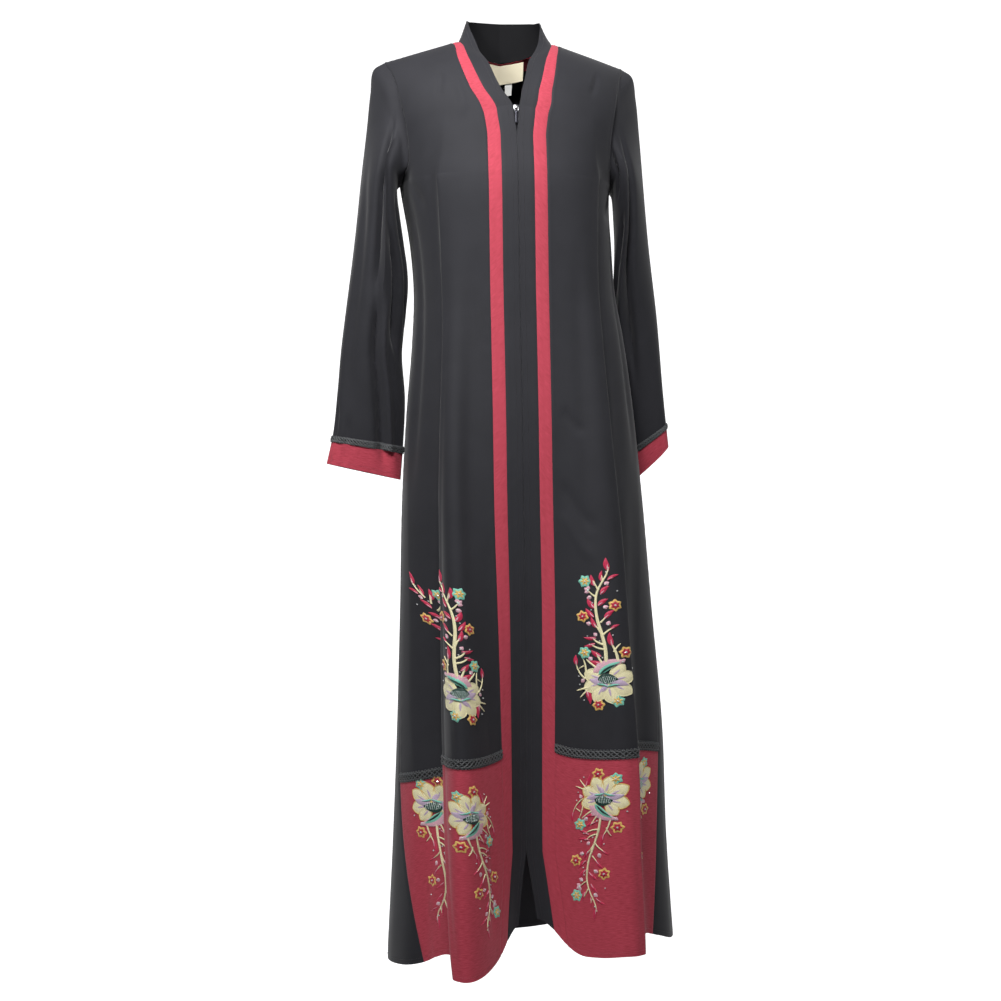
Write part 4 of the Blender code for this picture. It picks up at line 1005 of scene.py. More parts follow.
def neck_surface(prefix, station, side):
    """A point of the neck's outer or seam line, lying on the chest or the back."""
    x, z = neck_at(prefix, station)
    if abs(station - SHOULDER_STATION) < 1e-6:
        return np.array([side * x, 0.0, z])
    if station > SHOULDER_STATION:
        return on_chest(side * x, z, 1)
    return on_chest(front_middle(z) + side * x, z, -1)


def neck_edge(station, side):
    """A point of the placket's free edge, on the chest at first and then up the stand collar."""
    x, z = neck_at("edge", station)
    x = side * x
    if station < SHOULDER_STATION:
        x += front_middle(z)
    flat = on_chest(x, z, -1)[1]
    risen = smooth(NECKLINE["station"], NECKLINE["edge_y"], station)
    y = flat + (risen - flat) * ease(station / 1.5)
    return np.array([x, y, z])


def long_strip(first_cloth, last_cloth, first_neck, last_neck, count, side):
    """A piece that runs from the centre back of the neck, down the front, to the hem.

    It lies between two distances from the centre front, and between two lines of the neck.
    """
    share = np.linspace(0, 1, count + 1)
    cloth, z = skirt_grid(first_cloth, last_cloth, share, side)
    skirt = on_skirt(cloth, z)
    rows = []
    corner = first_neck(0)[2] * (1 - share) + last_neck(0)[2] * share
    for row_z in row_heights_at_neck()[1:CHEST_ROWS]:
        height = ARMPIT + (corner - ARMPIT) * (row_z - ARMPIT) / (STRIP_CORNER - ARMPIT)
        x = first_cloth(height) * (1 - share) + last_cloth(height) * share
        rows.append(on_chest(front_middle(height) + side * x, height, -1))
    for station in route_stations():
        first = first_neck(station)
        last = last_neck(station)
        rows.append(first * (1 - share[:, None]) + last * share[:, None])
    upper = np.array(rows)
    whole = np.concatenate([upper[::-1], skirt])
    normals = grid_normals(whole)
    normals[len(upper):] = skirt_normals(cloth, z)
    normals[0, :, 0] = 0.0
    return whole, unit(normals)


def strip_grid(side):
    """The maroon strip, between the placket and the front."""
    return long_strip(
        lambda z: half_gap(z) + PLACKET,
        strip_edge,
        lambda station: neck_surface("seam", station, side),
        lambda station: neck_surface("outer", station, side),
        STRIP_COLUMNS,
        side,
    )


def placket_grid(side):
    """The black placket, which rises into half of the stand collar."""
    return long_strip(
        half_gap,
        lambda z: half_gap(z) + PLACKET,
        lambda station: neck_edge(station, side),
        lambda station: neck_surface("seam", station, side),
        PLACKET_COLUMNS,
        side,
    )


def body_line(values_front, values_back, side):
    """Values along the strip's outer edge, from the front's and the back's own edges."""
    neck = values_back[0, BACK_SHOULDER_COLUMNS:-BACK_SHOULDER_COLUMNS]
    half = neck[BACK_NECK_COLUMNS::-1] if side > 0 else neck[BACK_NECK_COLUMNS:]
    return np.concatenate([half[:-1], values_front[:len(SHARES) - 1, 0]])


def mitred(one, other):
    """Normals for the seam of two pieces, longer where the pieces meet at a sharp angle."""
    both = one + other
    length = np.linalg.norm(both, axis=-1, keepdims=True)
    return unit(both) * np.minimum(2 / np.maximum(length, 1e-6), LONGEST_MITRE)


# The sleeves

def sleeve_stations(table):
    """A sleeve's outer and inner ends, half depths, and the way walked down its middle."""
    stations = columns(SLEEVE_NAMES, table)
    outer, inner = (
        np.stack([stations[f"{end}_{axis}"] for axis in "xyz"], axis=1)
        for end in ("outer", "inner")
    )
    return outer, inner, stations["half_depth"], walk((outer + inner) / 2)


def sleeve_at(table, distance, turns):
    """A sleeve's round at a distance down from the armhole, before the armhole's blend."""
    outer, inner, half_depth, walked = sleeve_stations(table)
    place = np.array([smooth(walked, outer[:, i], distance) for i in range(3)])
    other = np.array([smooth(walked, inner[:, i], distance) for i in range(3)])
    depth = smooth(walked, half_depth, distance)
    half = (place - other) / 2
    centre = (place + other) / 2
    forward = unit(np.array([half[1], -half[0], 0.0])) * depth
    forward[2] = -smooth(walked, columns(SLEEVE_NAMES, table)["front_drop"], distance)
    return centre + np.cos(turns)[:, None] * half + np.sin(turns)[:, None] * forward


def sleeve_turns(armhole):
    """Where each of the armhole's points lies round the sleeve, from the shoulder forwards."""
    middle = (armhole[:, 2].max() + armhole[:, 2].min()) / 2
    half_height = armhole[:, 2].max() - middle
    half_depth = SLEEVE_RIGHT[0][-1]
    return np.arctan2(-armhole[:, 1] / half_depth, (armhole[:, 2] - middle) / half_height)


def sleeve_grid(table, side, distances, armhole):
    """Rounds of a sleeve at some distances, its first one drawn to the armhole's points."""
    turns = sleeve_turns(armhole)
    mirror = np.array([side, 1.0, 1.0])
    start = sleeve_at(table, 0.0, turns) * mirror
    upper = (1 + np.cos(turns[:, None])) / 2
    blend = BLEND_AT_ARMPIT + (BLEND_AT_SHOULDER - BLEND_AT_ARMPIT) * upper
    rounds = []
    for distance in distances:
        plain = sleeve_at(table, distance, turns) * mirror
        rounds.append(plain + (armhole - start) * (1 - ease(distance / blend)))
    return np.array(rounds)


def sleeve_length(table):
    """Length of the line down the middle of a sleeve."""
    return float(sleeve_stations(table)[3][-1])


def sleeve_distances(table):
    """Distances of a sleeve's rounds down to the cuff: the last one is the cuff's seam."""
    cuff_top = sleeve_length(table) - CUFF
    crowded = np.linspace(0, 1, SLEEVE_RINGS) ** 1.25 * (cuff_top - CUFF_BRAID)
    braid = cuff_top - CUFF_BRAID * (1 - np.linspace(0, 1, BRAID_ROWS + 1)[1:])
    return np.concatenate([crowded, braid])


def tube_normals(grid):
    """Normals of a grid that is closed along its rows, facing away from each row's middle."""
    across = np.roll(grid, -1, axis=1) - np.roll(grid, 1, axis=1)
    normals = unit(np.cross(across, np.gradient(grid, axis=0)))
    away = grid - grid.mean(axis=1, keepdims=True)
    return normals if np.sum(normals * away) > 0 else -normals


def armhole_loop(front, back, side):
    """The armhole's points, from the shoulder tip down the front and up the back."""
    rows = len(SHARES)
    down_front = front[:rows, -1]
    up_back = back[:rows, 0 if side > 0 else -1][::-1]
    tip = (down_front[0] + up_back[-1]) / 2
    armpit = (down_front[-1] + up_back[0]) / 2
    return np.concatenate([[tip], down_front[1:-1], [armpit], up_back[1:-1]])


def share_armhole(front_out, back_out, shared, side):
    """Give the front's and back's armhole edges the normals they share with the sleeve."""
    rows = np.arange(len(SHARES))
    front_out[rows, -1] = shared[rows]
    back_out[rows, 0 if side > 0 else -1] = shared[-rows]


def work_out_surfaces():
    """Points and normals of every cut piece, with shared normals along the seams."""
    surfaces = {}
    back, back_out = back_grid()
    for name, side in SIDES.items():
        table = SLEEVES[name]
        front, front_out = front_grid(side)
        armhole = armhole_loop(front, back, side)
        sleeve = sleeve_grid(table, side, sleeve_distances(table), armhole)
        sleeve_out = tube_normals(sleeve)
        body_out = armhole_loop(front_out, back_out, side)
        sleeve_out[0] = mitred(unit(body_out), sleeve_out[0])
        share_armhole(front_out, back_out, sleeve_out[0], side)
        cuff_from = sleeve_length(table) - CUFF
        cuff = sleeve_grid(table, side, cuff_from + CUFF * hem_steps(CUFF_ROWS), armhole)
        cuff_out = tube_normals(cuff)
        cuff_out[0] = sleeve_out[-1]
        strip, strip_out = strip_grid(side)
        edge = body_line(front, back, side)
        strip[:len(edge), -1] = edge
        strip_out[:len(edge), -1] = body_line(front_out, back_out, side)
        placket, placket_out = placket_grid(side)
        shared = mitred(strip_out[:, 0], placket_out[:, -1])
        strip_out[:, 0] = shared
        placket_out[:, -1] = shared
        surfaces["front_" + name] = (front, front_out)
        surfaces["sleeve_" + name] = (sleeve, sleeve_out)
        surfaces["cuff_" + name] = (cuff, cuff_out)
        surfaces["strip_" + name] = (strip, strip_out)
        surfaces["placket_" + name] = (placket, placket_out)
    surfaces["back"] = (back, back_out)
    return surfaces


SURFACES = work_out_surfaces()


# Creases and seams, as heights of the cloth off its form

def crease_heights(piece, share, down, width):
    """Height that a piece's creases give at places on it.

    share and down are places across and down the piece, and width turns a share into metres.
    """
    height = np.zeros(np.broadcast_shapes(share.shape, down.shape))
    for crease in CREASE_ROWS.get(piece, ()):
        run_across = (crease["to_share"] - crease["from_share"]) * width
        run_down = crease["to_down"] - crease["from_down"]
        length = np.hypot(run_across, run_down)
        off_across = (share - crease["from_share"]) * width
        off_down = down - crease["from_down"]
        along = (off_across * run_across + off_down * run_down) / length ** 2
        bent = crease["bend"] * 4 * along * (1 - along) * MILLIMETRE
        aside = (off_across * run_down - off_down * run_across) / length - bent
        half_width = crease["width"] * MILLIMETRE
        across = np.exp(-(aside / half_width) ** 2)
        ends = ease(along / CREASE_END) * ease((1 - along) / CREASE_END)
        height += across * ends * crease["height"] * MILLIMETRE
    return height


def walked_along(grid, axis):
    """How far each point of a grid lies along its row (axis 1) or column (axis 0)."""
    steps = np.linalg.norm(np.diff(grid, axis=axis), axis=-1)
    walked = np.cumsum(steps, axis=axis)
    pad = [(0, 0), (0, 0)]
    pad[axis] = (1, 0)
    return np.pad(walked, pad)


def from_edges(grid):
    """How far each point of a grid lies from each of its edges, and how far along that edge."""
    across = walked_along(grid, 1)
    down = walked_along(grid, 0)
    return {
        "first column": (across, down),
        "last column": (across[:, -1:] - across, down),
        "first row": (down, across),
        "last row": (down[-1:] - down, across),
    }


def seam_heights(grid, edges):
    """The groove, the roll beside it and the small puckers along a piece's sewn edges."""
    from_edge = from_edges(grid)
    height = np.zeros(grid.shape[:2])
    for edge in edges:
        off, along = from_edge[edge]
        groove = -SEAM_GROOVE * np.exp(-(off / SEAM_GROOVE_WIDTH) ** 2)
        roll = SEAM_ROLL * np.exp(-((off - 3 * SEAM_GROOVE_WIDTH) / (2 * SEAM_GROOVE_WIDTH)) ** 2)
        beat = np.sin(along / PUCKER_PITCH * 2 * math.pi + 3 * np.sin(along / PUCKER_DRIFT))
        fade = np.exp(-(off / PUCKER_REACH) ** 2) * (1 - np.exp(-(off / PUCKER_START) ** 2))
        height += groove + roll + PUCKER * beat * fade
    return height


def calmed(height, grid, edges, reach=0.010):
    """Heights that die away towards some edges, so that two pieces still meet there."""
    from_edge = from_edges(grid)
    for edge in edges:
        height = height * ease(from_edge[edge][0] / reach)
    return height


# Making meshes

def faces_between(rows, across, start, flip, closed):
    """Quads between neighbouring rows of a grid of points whose first point is start."""
    r = np.arange(rows - 1)[:, None]
    c = np.arange(across if closed else across - 1)[None, :]
    a = start + r * across + c
    b = start + r * across + (c + 1) % across
    quads = np.stack([a, b, b + across, a + across], axis=-1).reshape(-1, 4)
    return quads[:, ::-1] if flip else quads


def patch(outer, inner, closed=False):
    """A closed thin part between two grids of points, with its weave's map in metres."""
    rows, across = outer.shape[:2]
    behind = rows * across
    faces = [
        faces_between(rows, across, 0, False, closed),
        faces_between(rows, across, behind, True, closed),
    ]
    c = np.arange(across if closed else across - 1)
    for r, turned in ((0, True), (rows - 1, False)):
        a = r * across + c
        b = r * across + (c + 1) % across
        rim = np.stack([a, b, behind + b, behind + a], axis=-1)
        faces.append(rim[:, ::-1] if turned else rim)
    if not closed:
        for c, turned in ((0, False), (across - 1, True)):
            a = np.arange(rows - 1) * across + c
            rim = np.stack([a, a + across, behind + a + across, behind + a], axis=-1)
            faces.append(rim[:, ::-1] if turned else rim)
    faces = np.concatenate(faces)
    middle = rows // 2
    facing = np.cross(
        outer[middle, 1] - outer[middle - 1, 0], outer[middle, 0] - outer[middle - 1, 1]
    )
    if np.dot(facing, outer[middle, 0] - inner[middle, 0]) < 0:
        faces = faces[:, ::-1]
    place = np.stack([walked_along(outer, 1), walked_along(outer[::-1], 0)[::-1]], axis=-1)
    return {
        "points": np.concatenate([outer.reshape(-1, 3), inner.reshape(-1, 3)]),
        "faces": faces.tolist(),
        "places": np.concatenate([place.reshape(-1, 2)] * 2),
    }


def tube(path, normals, radius, sides=6, closed=False, flatten=1.0):
    """A round cord along a path: radius may vary, and flatten squashes it along its normals."""
    radius = np.broadcast_to(np.asarray(radius, float), (len(path),))[:, None, None]
    if closed:
        along = unit(np.roll(path, -1, axis=0) - np.roll(path, 1, axis=0))
    else:
        along = unit(np.gradient(path, axis=0))
    beside = unit(np.cross(along, normals))
    out = np.cross(beside, along)
    turn = np.linspace(0, 2 * math.pi, sides, endpoint=False)
    points = path[:, None] + radius * (
        beside[:, None] * np.cos(turn)[None, :, None]
        + out[:, None] * np.sin(turn)[None, :, None] * flatten
    )
    rows = len(path)
    faces = faces_between(rows, sides, 0, True, True).tolist()
    last = (rows - 1) * sides
    if closed:
        for c in range(sides):
            d = (c + 1) % sides
            faces.append([last + d, last + c, c, d])
    else:
        faces.append(list(range(sides)))
        faces.append([last + c for c in range(sides)][::-1])
    round_cord = turn[None, :] * CORD_MAP_RADIUS
    places = np.stack(np.broadcast_arrays(round_cord, walk(path)[:, None]), axis=-1)
    return {"points": points.reshape(-1, 3), "faces": faces, "places": places.reshape(-1, 2)}


def map_weave(mesh, places):
    """Give a mesh the map that its weave follows: metres along and up the cloth."""
    layer = mesh.uv_layers.new(name=WEAVE_MAP)
    corner = np.empty(len(mesh.loops), dtype=np.int32)
    mesh.loops.foreach_get("vertex_index", corner)
    layer.data.foreach_set("uv", places[corner].astype(np.float32).ravel())


def add_piece(name, parts, materials, smooth_angle=50):
    """One piece of closed parts; each part's own "material" counts into materials."""
    points = np.concatenate([part["points"] for part in parts])
    places = np.concatenate([part["places"] for part in parts])
    faces = []
    indices = []
    start = 0
    for part in parts:
        faces.extend([[corner + start for corner in face] for face in part["faces"]])
        indices.extend(np.broadcast_to(part.get("material", 0), len(part["faces"])))
        start += len(part["points"])
    mesh = bpy.data.meshes.new(name)
    mesh.from_pydata(points, [], faces)
    for finish in materials:
        mesh.materials.append(finish)
    mesh.polygons.foreach_set("material_index", indices)
    map_weave(mesh, places)
    mesh.shade_smooth()
    mesh.set_sharp_from_angle(angle=math.radians(smooth_angle))
    piece = bpy.data.objects.new(name, mesh)
    bpy.context.scene.collection.objects.link(piece)
    return piece


# Pieces of cloth

def finish_piece(piece, nodes=(), body="garment"):
    """Hang a piece on the empty of the body that it rides on, and hide the model's nodes that it
    stands for.
    """
    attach(piece, body)
    if nodes:
        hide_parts(*nodes)
    return piece


def declare_cloth(piece, grid, closed=False):
    """Work out the size and area that a piece was cut to; nothing uses them, and the piece is
    returned as it is.
    """
    rows = walked_along(grid, 1)[:, -1]
    if closed:
        rows = rows + np.linalg.norm(grid[:, 0] - grid[:, -1], axis=1)
    tall = walked_along(grid, 0)[-1]
    wide = np.append(grid, grid[:, :1], axis=1) if closed else grid
    a = wide[1:, 1:] - wide[:-1, :-1]
    b = wide[1:, :-1] - wide[:-1, 1:]
    area = float(np.sum(np.linalg.norm(np.cross(a, b), axis=-1)) / 2)
    flat = (float(rows.max()) * CUT_EASE, float(tall.max()) * CUT_EASE)
    area = min(max(area, LEAST_CUT_SHARE * flat[0] * flat[1]), flat[0] * flat[1])
    return piece


def front_place(side, cloth, z):
    """A front's share across at a cloth distance and height on the skirt, and its width."""
    width = side_seam(z, side) - strip_edge(z)
    return (np.abs(cloth) - strip_edge(z)) / width, width


def creased_front(side, share, z, width, points, normals):
    """Places on a front, or just off it, moved by its creases and its tuck."""
    tuck = TUCK[SIDE_NAMES[side]]
    off = (share - smooth(tuck["z"], tuck["share"], z)) * width / MILLIMETRE
    over = smooth(tuck["z"], tuck["over"], z) * smooth(TUCK_ACROSS, TUCK_OVER, off)
    deep = smooth(tuck["z"], tuck["deep"], z) * smooth(TUCK_ACROSS, TUCK_DEEP, off)
    aside = side * unit(np.cross(UP, normals))
    calm = ease(share * width / CALM_EDGE) * ease((1 - share) * width / CALM_EDGE)
    creases = crease_heights("front_" + SIDE_NAMES[side], share, z, width) * calm
    height = creases - deep * MILLIMETRE
    return points + normals * height[..., None] + aside * (over * MILLIMETRE)[..., None]


def true_normals(face, normals, closed=False):
    """Normals of a creased face, on the side that its form's normals point to."""
    if closed:
        across = np.roll(face, -1, axis=1) - np.roll(face, 1, axis=1)
    else:
        across = np.gradient(face, axis=1)
    turned = unit(np.cross(across, np.gradient(face, axis=0)))
    return turned * np.sign(np.sum(turned * normals))


def grid_heights(name, grid, edges, calm=()):
    """Creases and seams of one piece over its own grid."""
    share = walked_along(grid, 1)
    width = share[:, -1:]
    share = share / width
    height = crease_heights(name, share, grid[..., 2], width)
    return calmed(height, grid, calm) + seam_heights(grid, edges)


def front_face(side):
    """A front and its hem panel over the front's grid, with creases, tuck and seams."""
    grid, normals = SURFACES["front_" + SIDE_NAMES[side]]
    share = np.broadcast_to(front_columns(), grid.shape[:2])
    width = walked_along(grid, 1)[:, -1:]
    face = creased_front(side, share, grid[..., 2], width, grid, normals)
    seams = seam_heights(grid, ("first column", "last column", "first row"))
    return face + normals * seams[..., None], normals


def hem_thickness(grid, plain, turned_up):
    """Thickness of a piece: doubled where its hem is turned up inside."""
    off = from_edges(grid)["last row"][0]
    return plain * (1 + 0.9 * (1 - ease((off - turned_up) / 0.0015)))


def cloth_patch(outer, normals, thickness, closed=False):
    """A thin closed part behind a creased face."""
    behind = true_normals(outer, normals, closed) * np.broadcast_to(
        thickness, outer.shape[:2]
    )[..., None]
    return patch(outer, outer - behind, closed)


def sleeve_heights(name, grid, first_distance):
    """Creases of a sleeve or cuff: shares run round it from the outer edge forwards."""
    turns = sleeve_turns(SURFACES["sleeve_" + name][0][0])
    share = np.broadcast_to(turns / (2 * math.pi), grid.shape[:2])
    round_cloth = walked_along(grid, 1)[:, -1:]
    down = walked_along(grid, 0) + first_distance
    height = sum(
        crease_heights("sleeve_" + name, share + shift, down, round_cloth) for shift in (-1, 0, 1)
    )
    return height * SLEEVE_CREASE_DEPTH


def raised(grid, normals, height):
    """A grid raised by its creases: the piece's own face."""
    return grid + normals * height[..., None]


def lined_with_painted_shade(part, shape):
    """A part of cloth whose inner face is worked in its piece's second material, a darker twill
    that carries painted shade.
    """
    behind = (shape[0] - 1) * (shape[1] - 1)
    material = np.zeros(len(part["faces"]), int)
    material[behind:2 * behind] = 1
    part["material"] = material
    return part


def back_face():
    """The back's grid, its normals and its creased face."""
    grid, normals = SURFACES["back"]
    sides = ("first column", "last column")
    height = grid_heights("back", grid, (*sides, "first row"), sides)
    return grid, normals, raised(grid, normals, height)


def cuff_face(name):
    """A cuff's grid, its normals and its creased face."""
    grid, normals = SURFACES["cuff_" + name]
    height = sleeve_heights(name, grid, sleeve_length(SLEEVES[name]) - CUFF)
    return grid, normals, raised(grid, normals, height)


def build_back(context):
    """The back, in one piece."""
    sizes = context.scene.abaya_sizes
    grid, normals, face = back_face()
    thickness = hem_thickness(grid, sizes.cloth, sizes.hem_turn_up)
    piece = add_piece("back_cloth", [cloth_patch(face, normals, thickness)], [crepe(context)])
    finish_piece(piece, ["back"])
    return declare_cloth(piece, grid)


def build_fronts(context):
    """Both fronts, and the maroon panel below each."""
    sizes = context.scene.abaya_sizes
    foot = len(SHARES) - 1 + ROW_BRAID_FOOT
    for name, side in SIDES.items():
        face, normals = front_face(side)
        upper = cloth_patch(face[:foot + 1], normals[:foot + 1], sizes.cloth)
        piece = add_piece("front_cloth_" + name, [upper], [crepe(context)])
        finish_piece(piece, ["front_" + name])
        declare_cloth(piece, face[:foot + 1])
        thickness = hem_thickness(face[foot:], sizes.cloth, sizes.hem_turn_up)
        lower = cloth_patch(face[foot:], normals[foot:], thickness)
        piece = add_piece("hem_cloth_" + name, [lower], [maroon(context)])
        finish_piece(piece, ["hem_panel_" + name])
        declare_cloth(piece, face[foot:])


def build_strips(context):
    """The maroon strips and the black plackets, each in two parts joined by the zip's top."""
    sizes = context.scene.abaya_sizes
    corner = len(route_stations()) - 1
    for name in SIDES:
        for kind, upper_name, slot, finish in (
            ("strip", "neck_strip", "maroon_weave", maroon(context)),
            ("placket", "collar", "black_crepe", crepe(context)),
        ):
            grid, normals = SURFACES[kind + "_" + name]
            sewn = ("first column", "last column") if kind == "strip" else ("last column",)
            height = grid_heights(kind + "_" + name, grid, sewn, sewn)
            height[:corner + 1] += seam_heights(grid[:corner + 1], ("first row", "last row")) / 2
            thickness = sizes.cloth if kind == "strip" else 2 * sizes.cloth
            halves = ((upper_name, slice(None, corner + 1)), (kind, slice(corner, None)))
            for part_name, rows in halves:
                face = raised(grid, normals, height)[rows]
                part = cloth_patch(face, normals[rows], thickness)
                finishes = [finish]
                if part_name == "collar":
                    part = lined_with_painted_shade(part, face.shape)
                    # The collar's inner face takes the darker twill: painted shade inside the neck
                    finishes.append(lining(context))
                piece = add_piece(part_name + "_cloth_" + name, [part], finishes)
                finish_piece(piece, [part_name + "_" + name])
                declare_cloth(piece, grid[rows])


def build_sleeves(context):
    """Both sleeves and their maroon cuffs."""
    sizes = context.scene.abaya_sizes
    for name in SIDES:
        grid, normals = SURFACES["sleeve_" + name]
        height = sleeve_heights(name, grid, 0.0)
        height = calmed(height, grid, ("first row",), 0.012)
        part = cloth_patch(raised(grid, normals, height), normals, sizes.cloth, True)
        piece = add_piece("sleeve_cloth_" + name, [part], [crepe(context)])
        finish_piece(piece, ["sleeve_" + name])
        declare_cloth(piece, grid, closed=True)
        grid, normals, face = cuff_face(name)
        thickness = hem_thickness(grid, sizes.cloth, sizes.hem_turn_up)
        part = cloth_patch(face, normals, thickness, True)
        piece = add_piece("cuff_cloth_" + name, [part], [maroon(context)])
        finish_piece(piece, ["cuff_" + name])
        declare_cloth(piece, grid, closed=True)


# Embroidery, worked flat in millimetres and then laid on the cloth

def flat_lens(spine, widths, crown, rows_across=5):
    """A satin-stitched shape along a spine: crowned on top, flat below the cloth's face."""
    along = unit(np.gradient(spine, axis=0))
    beside = np.stack([-along[:, 1], along[:, 0]], axis=1)
    across = np.linspace(-1, 1, rows_across)
    plan = spine[:, None] + beside[:, None] * across[None, :, None] * widths[:, None, None] / 2
    full = np.sqrt(np.clip(1 - across ** 2, 0, 1))[None, :] * np.ones((len(spine), 1))
    rise = crown * full * np.sqrt(np.clip(widths / widths.max(), 0, 1))[:, None]
    top = np.concatenate([plan, (THREAD_FOOT + rise)[..., None]], axis=-1)
    foot = np.concatenate([plan, np.full(plan.shape[:2] + (1,), -THREAD_FOOT)], axis=-1)
    return patch(top, foot)


def towards(angle):
    """The direction at an angle in degrees."""
    turn = math.radians(angle)
    return np.array([math.cos(turn), math.sin(turn)])


def leaf(start, angle, length, width, crown, bend=0.12, steps=9):
    """A pointed leaf from a place, at an angle in degrees, with a slightly bent spine."""
    t = np.linspace(0, 1, steps)
    ahead = towards(angle)
    aside = np.array([-ahead[1], ahead[0]])
    spine = np.asarray(start, float) + length * (
        t[:, None] * ahead + bend * (t * (1 - t) * 2)[:, None] * aside
    )
    widths = width * np.maximum(np.sin(math.pi * t ** 0.8) ** 0.8, 0.10)
    return flat_lens(spine, widths, crown)


def petal(start, angle, length, width, crown):
    """A broad petal with a point, widest past its middle."""
    t = np.linspace(0, 1, 11)
    spine = np.asarray(start, float) + length * t[:, None] * towards(angle)
    outline = (0.0, 0.15, 0.4, 0.62, 0.78, 0.9, 1.0)
    breadth = (0.30, 0.52, 0.88, 1.00, 0.86, 0.55, 0.08)
    return flat_lens(spine, width * smooth(outline, breadth, t), crown, 7)


def lifted(part, height):
    """A flat part raised over the ones below it."""
    part["points"][:, 2] += height
    return part


def cord_on_flat(path, radius, closed=False):
    """A couched cord along a flat path, half sunk in the cloth's face."""
    path = np.asarray(path, float)
    raised_path = np.concatenate([path, np.full((len(path), 1), radius * 0.6)], axis=1)
    return tube(raised_path, np.broadcast_to(UP, raised_path.shape), radius, 5, closed)


def outline_of(shape, rows, across):
    """The plan outline of a crowned shape, from its grid of points."""
    top = shape["points"][:rows * across].reshape(rows, across, 3)[..., :2]
    return np.concatenate([top[:, 0], top[-1, 1:-1], top[::-1, -1], top[0, -2:0:-1]])


def gem(place, size):
    """A faceted glass crystal with a flat back."""
    turn = np.linspace(0, 2 * math.pi, 8, endpoint=False)
    rings = []
    for radius, height in ((0.30, 0.62), (0.50, 0.34), (0.50, 0.12), (0.34, -0.10)):
        flat = np.stack([np.cos(turn), np.sin(turn)], axis=1) * radius * size
        rings.append(np.concatenate([flat, np.full((8, 1), height * size)], axis=1))
    points = np.concatenate(rings) + np.array([place[0], place[1], 0.0])
    faces = faces_between(4, 8, 0, True, True).tolist()
    faces.append(list(range(8)))
    faces.append([24 + c for c in range(8)][::-1])
    return {"points": points, "faces": faces, "places": points[:, :2] * MILLIMETRE}


def threaded(part, thread):
    """A part with the thread that it is worked in."""
    part["material"] = THREADS.index(thread)
    return part


def small_flower(place, kind, size, spin):
    """A small six-lobed flower: thick lobes, a star over them and a crystal in the middle."""
    lobe, star = ("mint", "gold") if kind == "mint" else ("gold", "crimson")
    parts = []
    for number in range(6):
        angle = spin + number * 60
        foot = np.asarray(place, float) + towards(angle) * size * 0.10
        parts.append(threaded(leaf(foot, angle, size * 0.42, size * 0.40, 0.9, 0, 6), lobe))
        star_width = size * (0.20 if star == "gold" else 0.27)
        inner = leaf(place, angle, size * 0.37, star_width, 0.9, 0, 6)
        parts.append(threaded(lifted(inner, 0.5), star))
    parts.append(threaded(lifted(gem(place, 3.4), 1.1), "crystal"))
    return parts


def blossom(thin):
    """The large blossom: outlined petals, a hood over them and a dark latticed middle."""
    parts = []
    for row in by_name(PETAL_NAMES, PETALS):
        start = towards(row["angle"]) * PETAL_START
        whole = petal(start, row["angle"], row["length"], row["width"], 1.2)
        parts.append(threaded(whole, "cream"))
        edge = cord_on_flat(outline_of(whole, 11, 7), 0.8, True)
        parts.append(threaded(edge, "gold" if thin < 1 else "cream"))
        vein = leaf(start * 2.4, row["angle"], row["length"] * 0.5, row["width"] * 0.22, 0.8, 0, 7)
        parts.append(threaded(lifted(vein, 0.7), "lavender"))
    for row in by_name(HEART_NAMES, HEART):
        whole = leaf((row["out"], row["up"]), row["angle"], row["length"], row["width"], 1.0, 0.14)
        parts.append(threaded(lifted(whole, row["lift"]), row["thread"]))
    for number in range(-4, 5):
        half = 6.2 * math.sqrt(1 - (number / 4.8) ** 2)
        slant = np.linspace(-1, 1, 5)[:, None] * np.array([0.25, 1.0]) * half
        line = cord_on_flat(slant + np.array([number * 2.7, 1.2]), 0.34)
        parts.append(threaded(lifted(line, 2.8), "pale_mint"))
        bead = gem((number * 2.7 + 0.6 * (number % 2), 1.2 + 5 * math.sin(number * 2.1)), 1.9)
        parts.append(threaded(lifted(bead, 2.9), "crystal"))
    return parts


def flat_spray(thin, stem_from):
    """All parts of one spray, flat, in millimetres, with its stem from a share of it on."""
    share = np.linspace(stem_from, 1, 40)
    known = np.linspace(0, 1, len(STEM))
    stem = np.stack([smooth(known, np.array(STEM, float)[:, i], share) for i in (0, 1)], axis=1)
    widths = smooth(np.linspace(0, 1, len(STEM_WIDTHS)), STEM_WIDTHS, share) * thin
    parts = [threaded(lifted(flat_lens(stem, widths, 1.3), 0.3), "cream")]
    for row in by_name(STROKE_NAMES, STROKES):
        start = np.array([row["out"], row["up"]])
        run = np.array([row["to_out"], row["to_up"]]) - start
        t = np.linspace(0, 1, 7)[:, None]
        aside = unit(np.array([-run[1], run[0]]))
        route = start + run * t + aside * row["bend"] * 4 * t * (1 - t)
        widths = row["width"] * thin * (1 - 0.35 * t[:, 0] - 0.4 * t[:, 0] ** 8)
        parts.append(threaded(lifted(flat_lens(route, widths, 0.9), 0.5), "cream"))
    for row in by_name(LEAF_NAMES, LEAVES):
        start = (row["out"], row["up"])
        width = row["width"] * (thin if row["thread"] == "rose" else 1.0)
        whole = leaf(start, row["angle"], row["length"], width, 1.0, 0.16)
        parts.append(threaded(whole, row["thread"]))
        # A pale midrib stroke on each leaf's lower half, made lighter than the leaf to paint its
        # highlight
        rib_highlight = leaf(start, row["angle"], row["length"] * 0.5, width * 0.26, 0.6, 0.16, 5)
        rib_highlight_thread = "pale_mint" if row["thread"] == "pink" else "pink"
        parts.append(threaded(lifted(rib_highlight, 0.9), rib_highlight_thread))
    for number, row in enumerate(by_name(SPRAY_FLOWER_NAMES, SPRAY_FLOWERS)):
        parts.extend(small_flower((row["out"], row["up"]), row["kind"], row["size"], 11 * number))
    parts.extend(blossom(thin))
    for place in CRYSTALS:
        parts.append(threaded(lifted(gem(place, 2.6), 0.1), "crystal"))
    return parts


